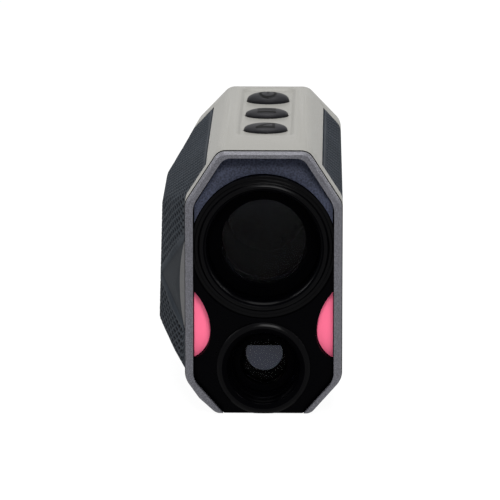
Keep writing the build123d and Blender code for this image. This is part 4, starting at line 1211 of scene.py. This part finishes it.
@dataclass
class Studio:
    """A plain pale floor, soft lamps and the camera."""

    lens_mm: float = 327.6
    sensor_mm: float = 36.0
    distance_m: float = 1.208
    look_down: float = 12.6
    yaw: float = 1.13
    aim_right_mm: float = 3.56
    aim_up_mm: float = -8.76
    aim_height_mm: float = 36.05
    fill: float = 0.18
    floor_radius_m: float = 3.0
    floor_steps: int = 96
    floor_drop_mm: float = 0.2
    glow_share: float = 0.92
    glow_strength: float = 1.04

    def camera(self) -> None:
        """Place the camera by its distance and angles from the middle of the front rim."""
        down, yaw = math.radians(self.look_down), math.radians(self.yaw)
        right = Vector((math.cos(yaw), math.sin(yaw), 0))
        forward = Vector((-math.sin(yaw) * math.cos(down), math.cos(yaw) * math.cos(down), -math.sin(down)))
        up = right.cross(forward)
        target = Vector((0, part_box("front_rim")[0].y, self.aim_height_mm * MM))
        place = target - right * self.aim_right_mm * MM - up * self.aim_up_mm * MM
        place -= forward * self.distance_m
        data = bpy.data.cameras.new("camera")
        data.lens = self.lens_mm
        data.sensor_width = self.sensor_mm
        data.clip_end = 20.0
        camera = bpy.data.objects.new("camera", data)
        bpy.context.scene.collection.objects.link(camera)
        turn = Matrix((right, up, -forward)).transposed().to_4x4()
        camera.matrix_world = Matrix.Translation(place) @ turn
        bpy.context.scene.camera = camera

    def backdrop_share(self, tree: bpy.types.NodeTree) -> bpy.types.NodeSocket:
        """Return 1 for what the camera, a gloss or a clear piece sees, and 0 for other light."""
        path = add_node(tree, "LightPath")
        seen = add_node(tree, "Math", {
            0: path.outputs["Is Camera Ray"], 1: path.outputs["Is Glossy Ray"],
        }, operation="MAXIMUM")
        through = add_node(tree, "Math", {
            0: seen.outputs[0], 1: path.outputs["Is Transmission Ray"],
        }, operation="MAXIMUM")
        return through.outputs[0]

    def floor(self) -> None:
        """Lay a floor that looks white and keeps a soft shadow."""
        shape = bmesh.new()
        bmesh.ops.create_circle(shape, cap_ends=True, segments=self.floor_steps, radius=self.floor_radius_m)
        mesh = bpy.data.meshes.new("floor")
        shape.to_mesh(mesh)
        shape.free()
        floor = bpy.data.objects.new("floor", mesh)
        floor.location.z = CAD_BOX[0][2] - self.floor_drop_mm * MM
        bpy.context.scene.collection.objects.link(floor)
        material = bpy.data.materials.new("paper_white")
        material.use_nodes = True
        tree = material.node_tree
        shader = tree.nodes["Principled BSDF"]
        shader.inputs["Base Color"].default_value = linear("f4f4f4")
        shader.inputs["Roughness"].default_value = 0.9
        share = add_node(tree, "Math", {
            0: self.backdrop_share(tree), 1: self.glow_share,
        }, operation="MULTIPLY")
        glow = add_node(tree, "Emission", {"Color": linear("ffffff"), "Strength": self.glow_strength})
        mix = add_node(tree, "MixShader", {
            0: share.outputs[0], 1: shader.outputs["BSDF"], 2: glow.outputs["Emission"],
        })
        tree.links.new(mix.outputs["Shader"], tree.nodes["Material Output"].inputs["Surface"])
        mesh.materials.append(material)

    def world(self) -> None:
        """Light everything a little from all round, and show white behind it."""
        world = bpy.data.worlds.new("studio")
        bpy.context.scene.world = world
        world.use_nodes = True
        tree = world.node_tree
        background = tree.nodes["Background"]
        strength = add_node(tree, "MapRange", {
            "Value": self.backdrop_share(tree), "To Min": self.fill, "To Max": 1.0,
        })
        background.inputs["Color"].default_value = linear("ffffff")
        tree.links.new(strength.outputs["Result"], background.inputs["Strength"])

    def build(self) -> None:
        """Set up the whole studio."""
        self.camera()
        self.floor()
        self.world()
        for lamp in LAMPS:
            lamp.build()


# ---- assembly ------------------------------------------------------------------------------------
def dress_frame() -> None:
    """Give every node of the frame its own finish, or else the finish of its slot."""
    for row in frame["record"]["subparts"]:
        node = frame["nodes"][row["node"]]
        finish = NODE_FINISHES.get(row["node"], SLOT_FINISHES[row["material_slot"]])
        node.data.materials.clear()
        node.data.materials.append(finish.build())


def main() -> None:
    """Build every piece in order."""
    logging.basicConfig(level=logging.INFO, format="%(name)s: %(message)s")
    bpy.context.scene.view_settings.view_transform = "Standard"
    Studio().build()
    dress_frame()
    Grip("grip_left", -1, facets=True).build()
    Grip("grip_right", 1).build()
    FrontRim().build()
    VIEW_RING.build()
    LASER_RING.build()
    for sign, height in ((Sign.SLOPE, 1.5), (Sign.LIST, 1.5), (Sign.POWER, 2.1)):
        Key(sign, height).build()
    for lens in LENSES:
        lens.build()
    ShellHalf("upper_shell").build()
    ShellHalf("lower_shell").build()
    softened("rear_cover", 0.3, COVER_PLASTIC, angle=40.0)
    softened("battery_door", 0.3, COVER_PLASTIC, angle=40.0)
    softened("eyecup", 0.5, CUP_RUBBER, segments=3)
    softened("brow_plate", 0.3, BROW_PAINT, neighbours=("front_rim", "objective_bezel"))
    softened("lens_block", 0.25, BLOCK_PLASTIC)
    for accent in ("accent_left", "accent_right"):
        softened(accent, 0.3, ACCENT_PLASTIC)


if __name__ == "__main__":
    main()
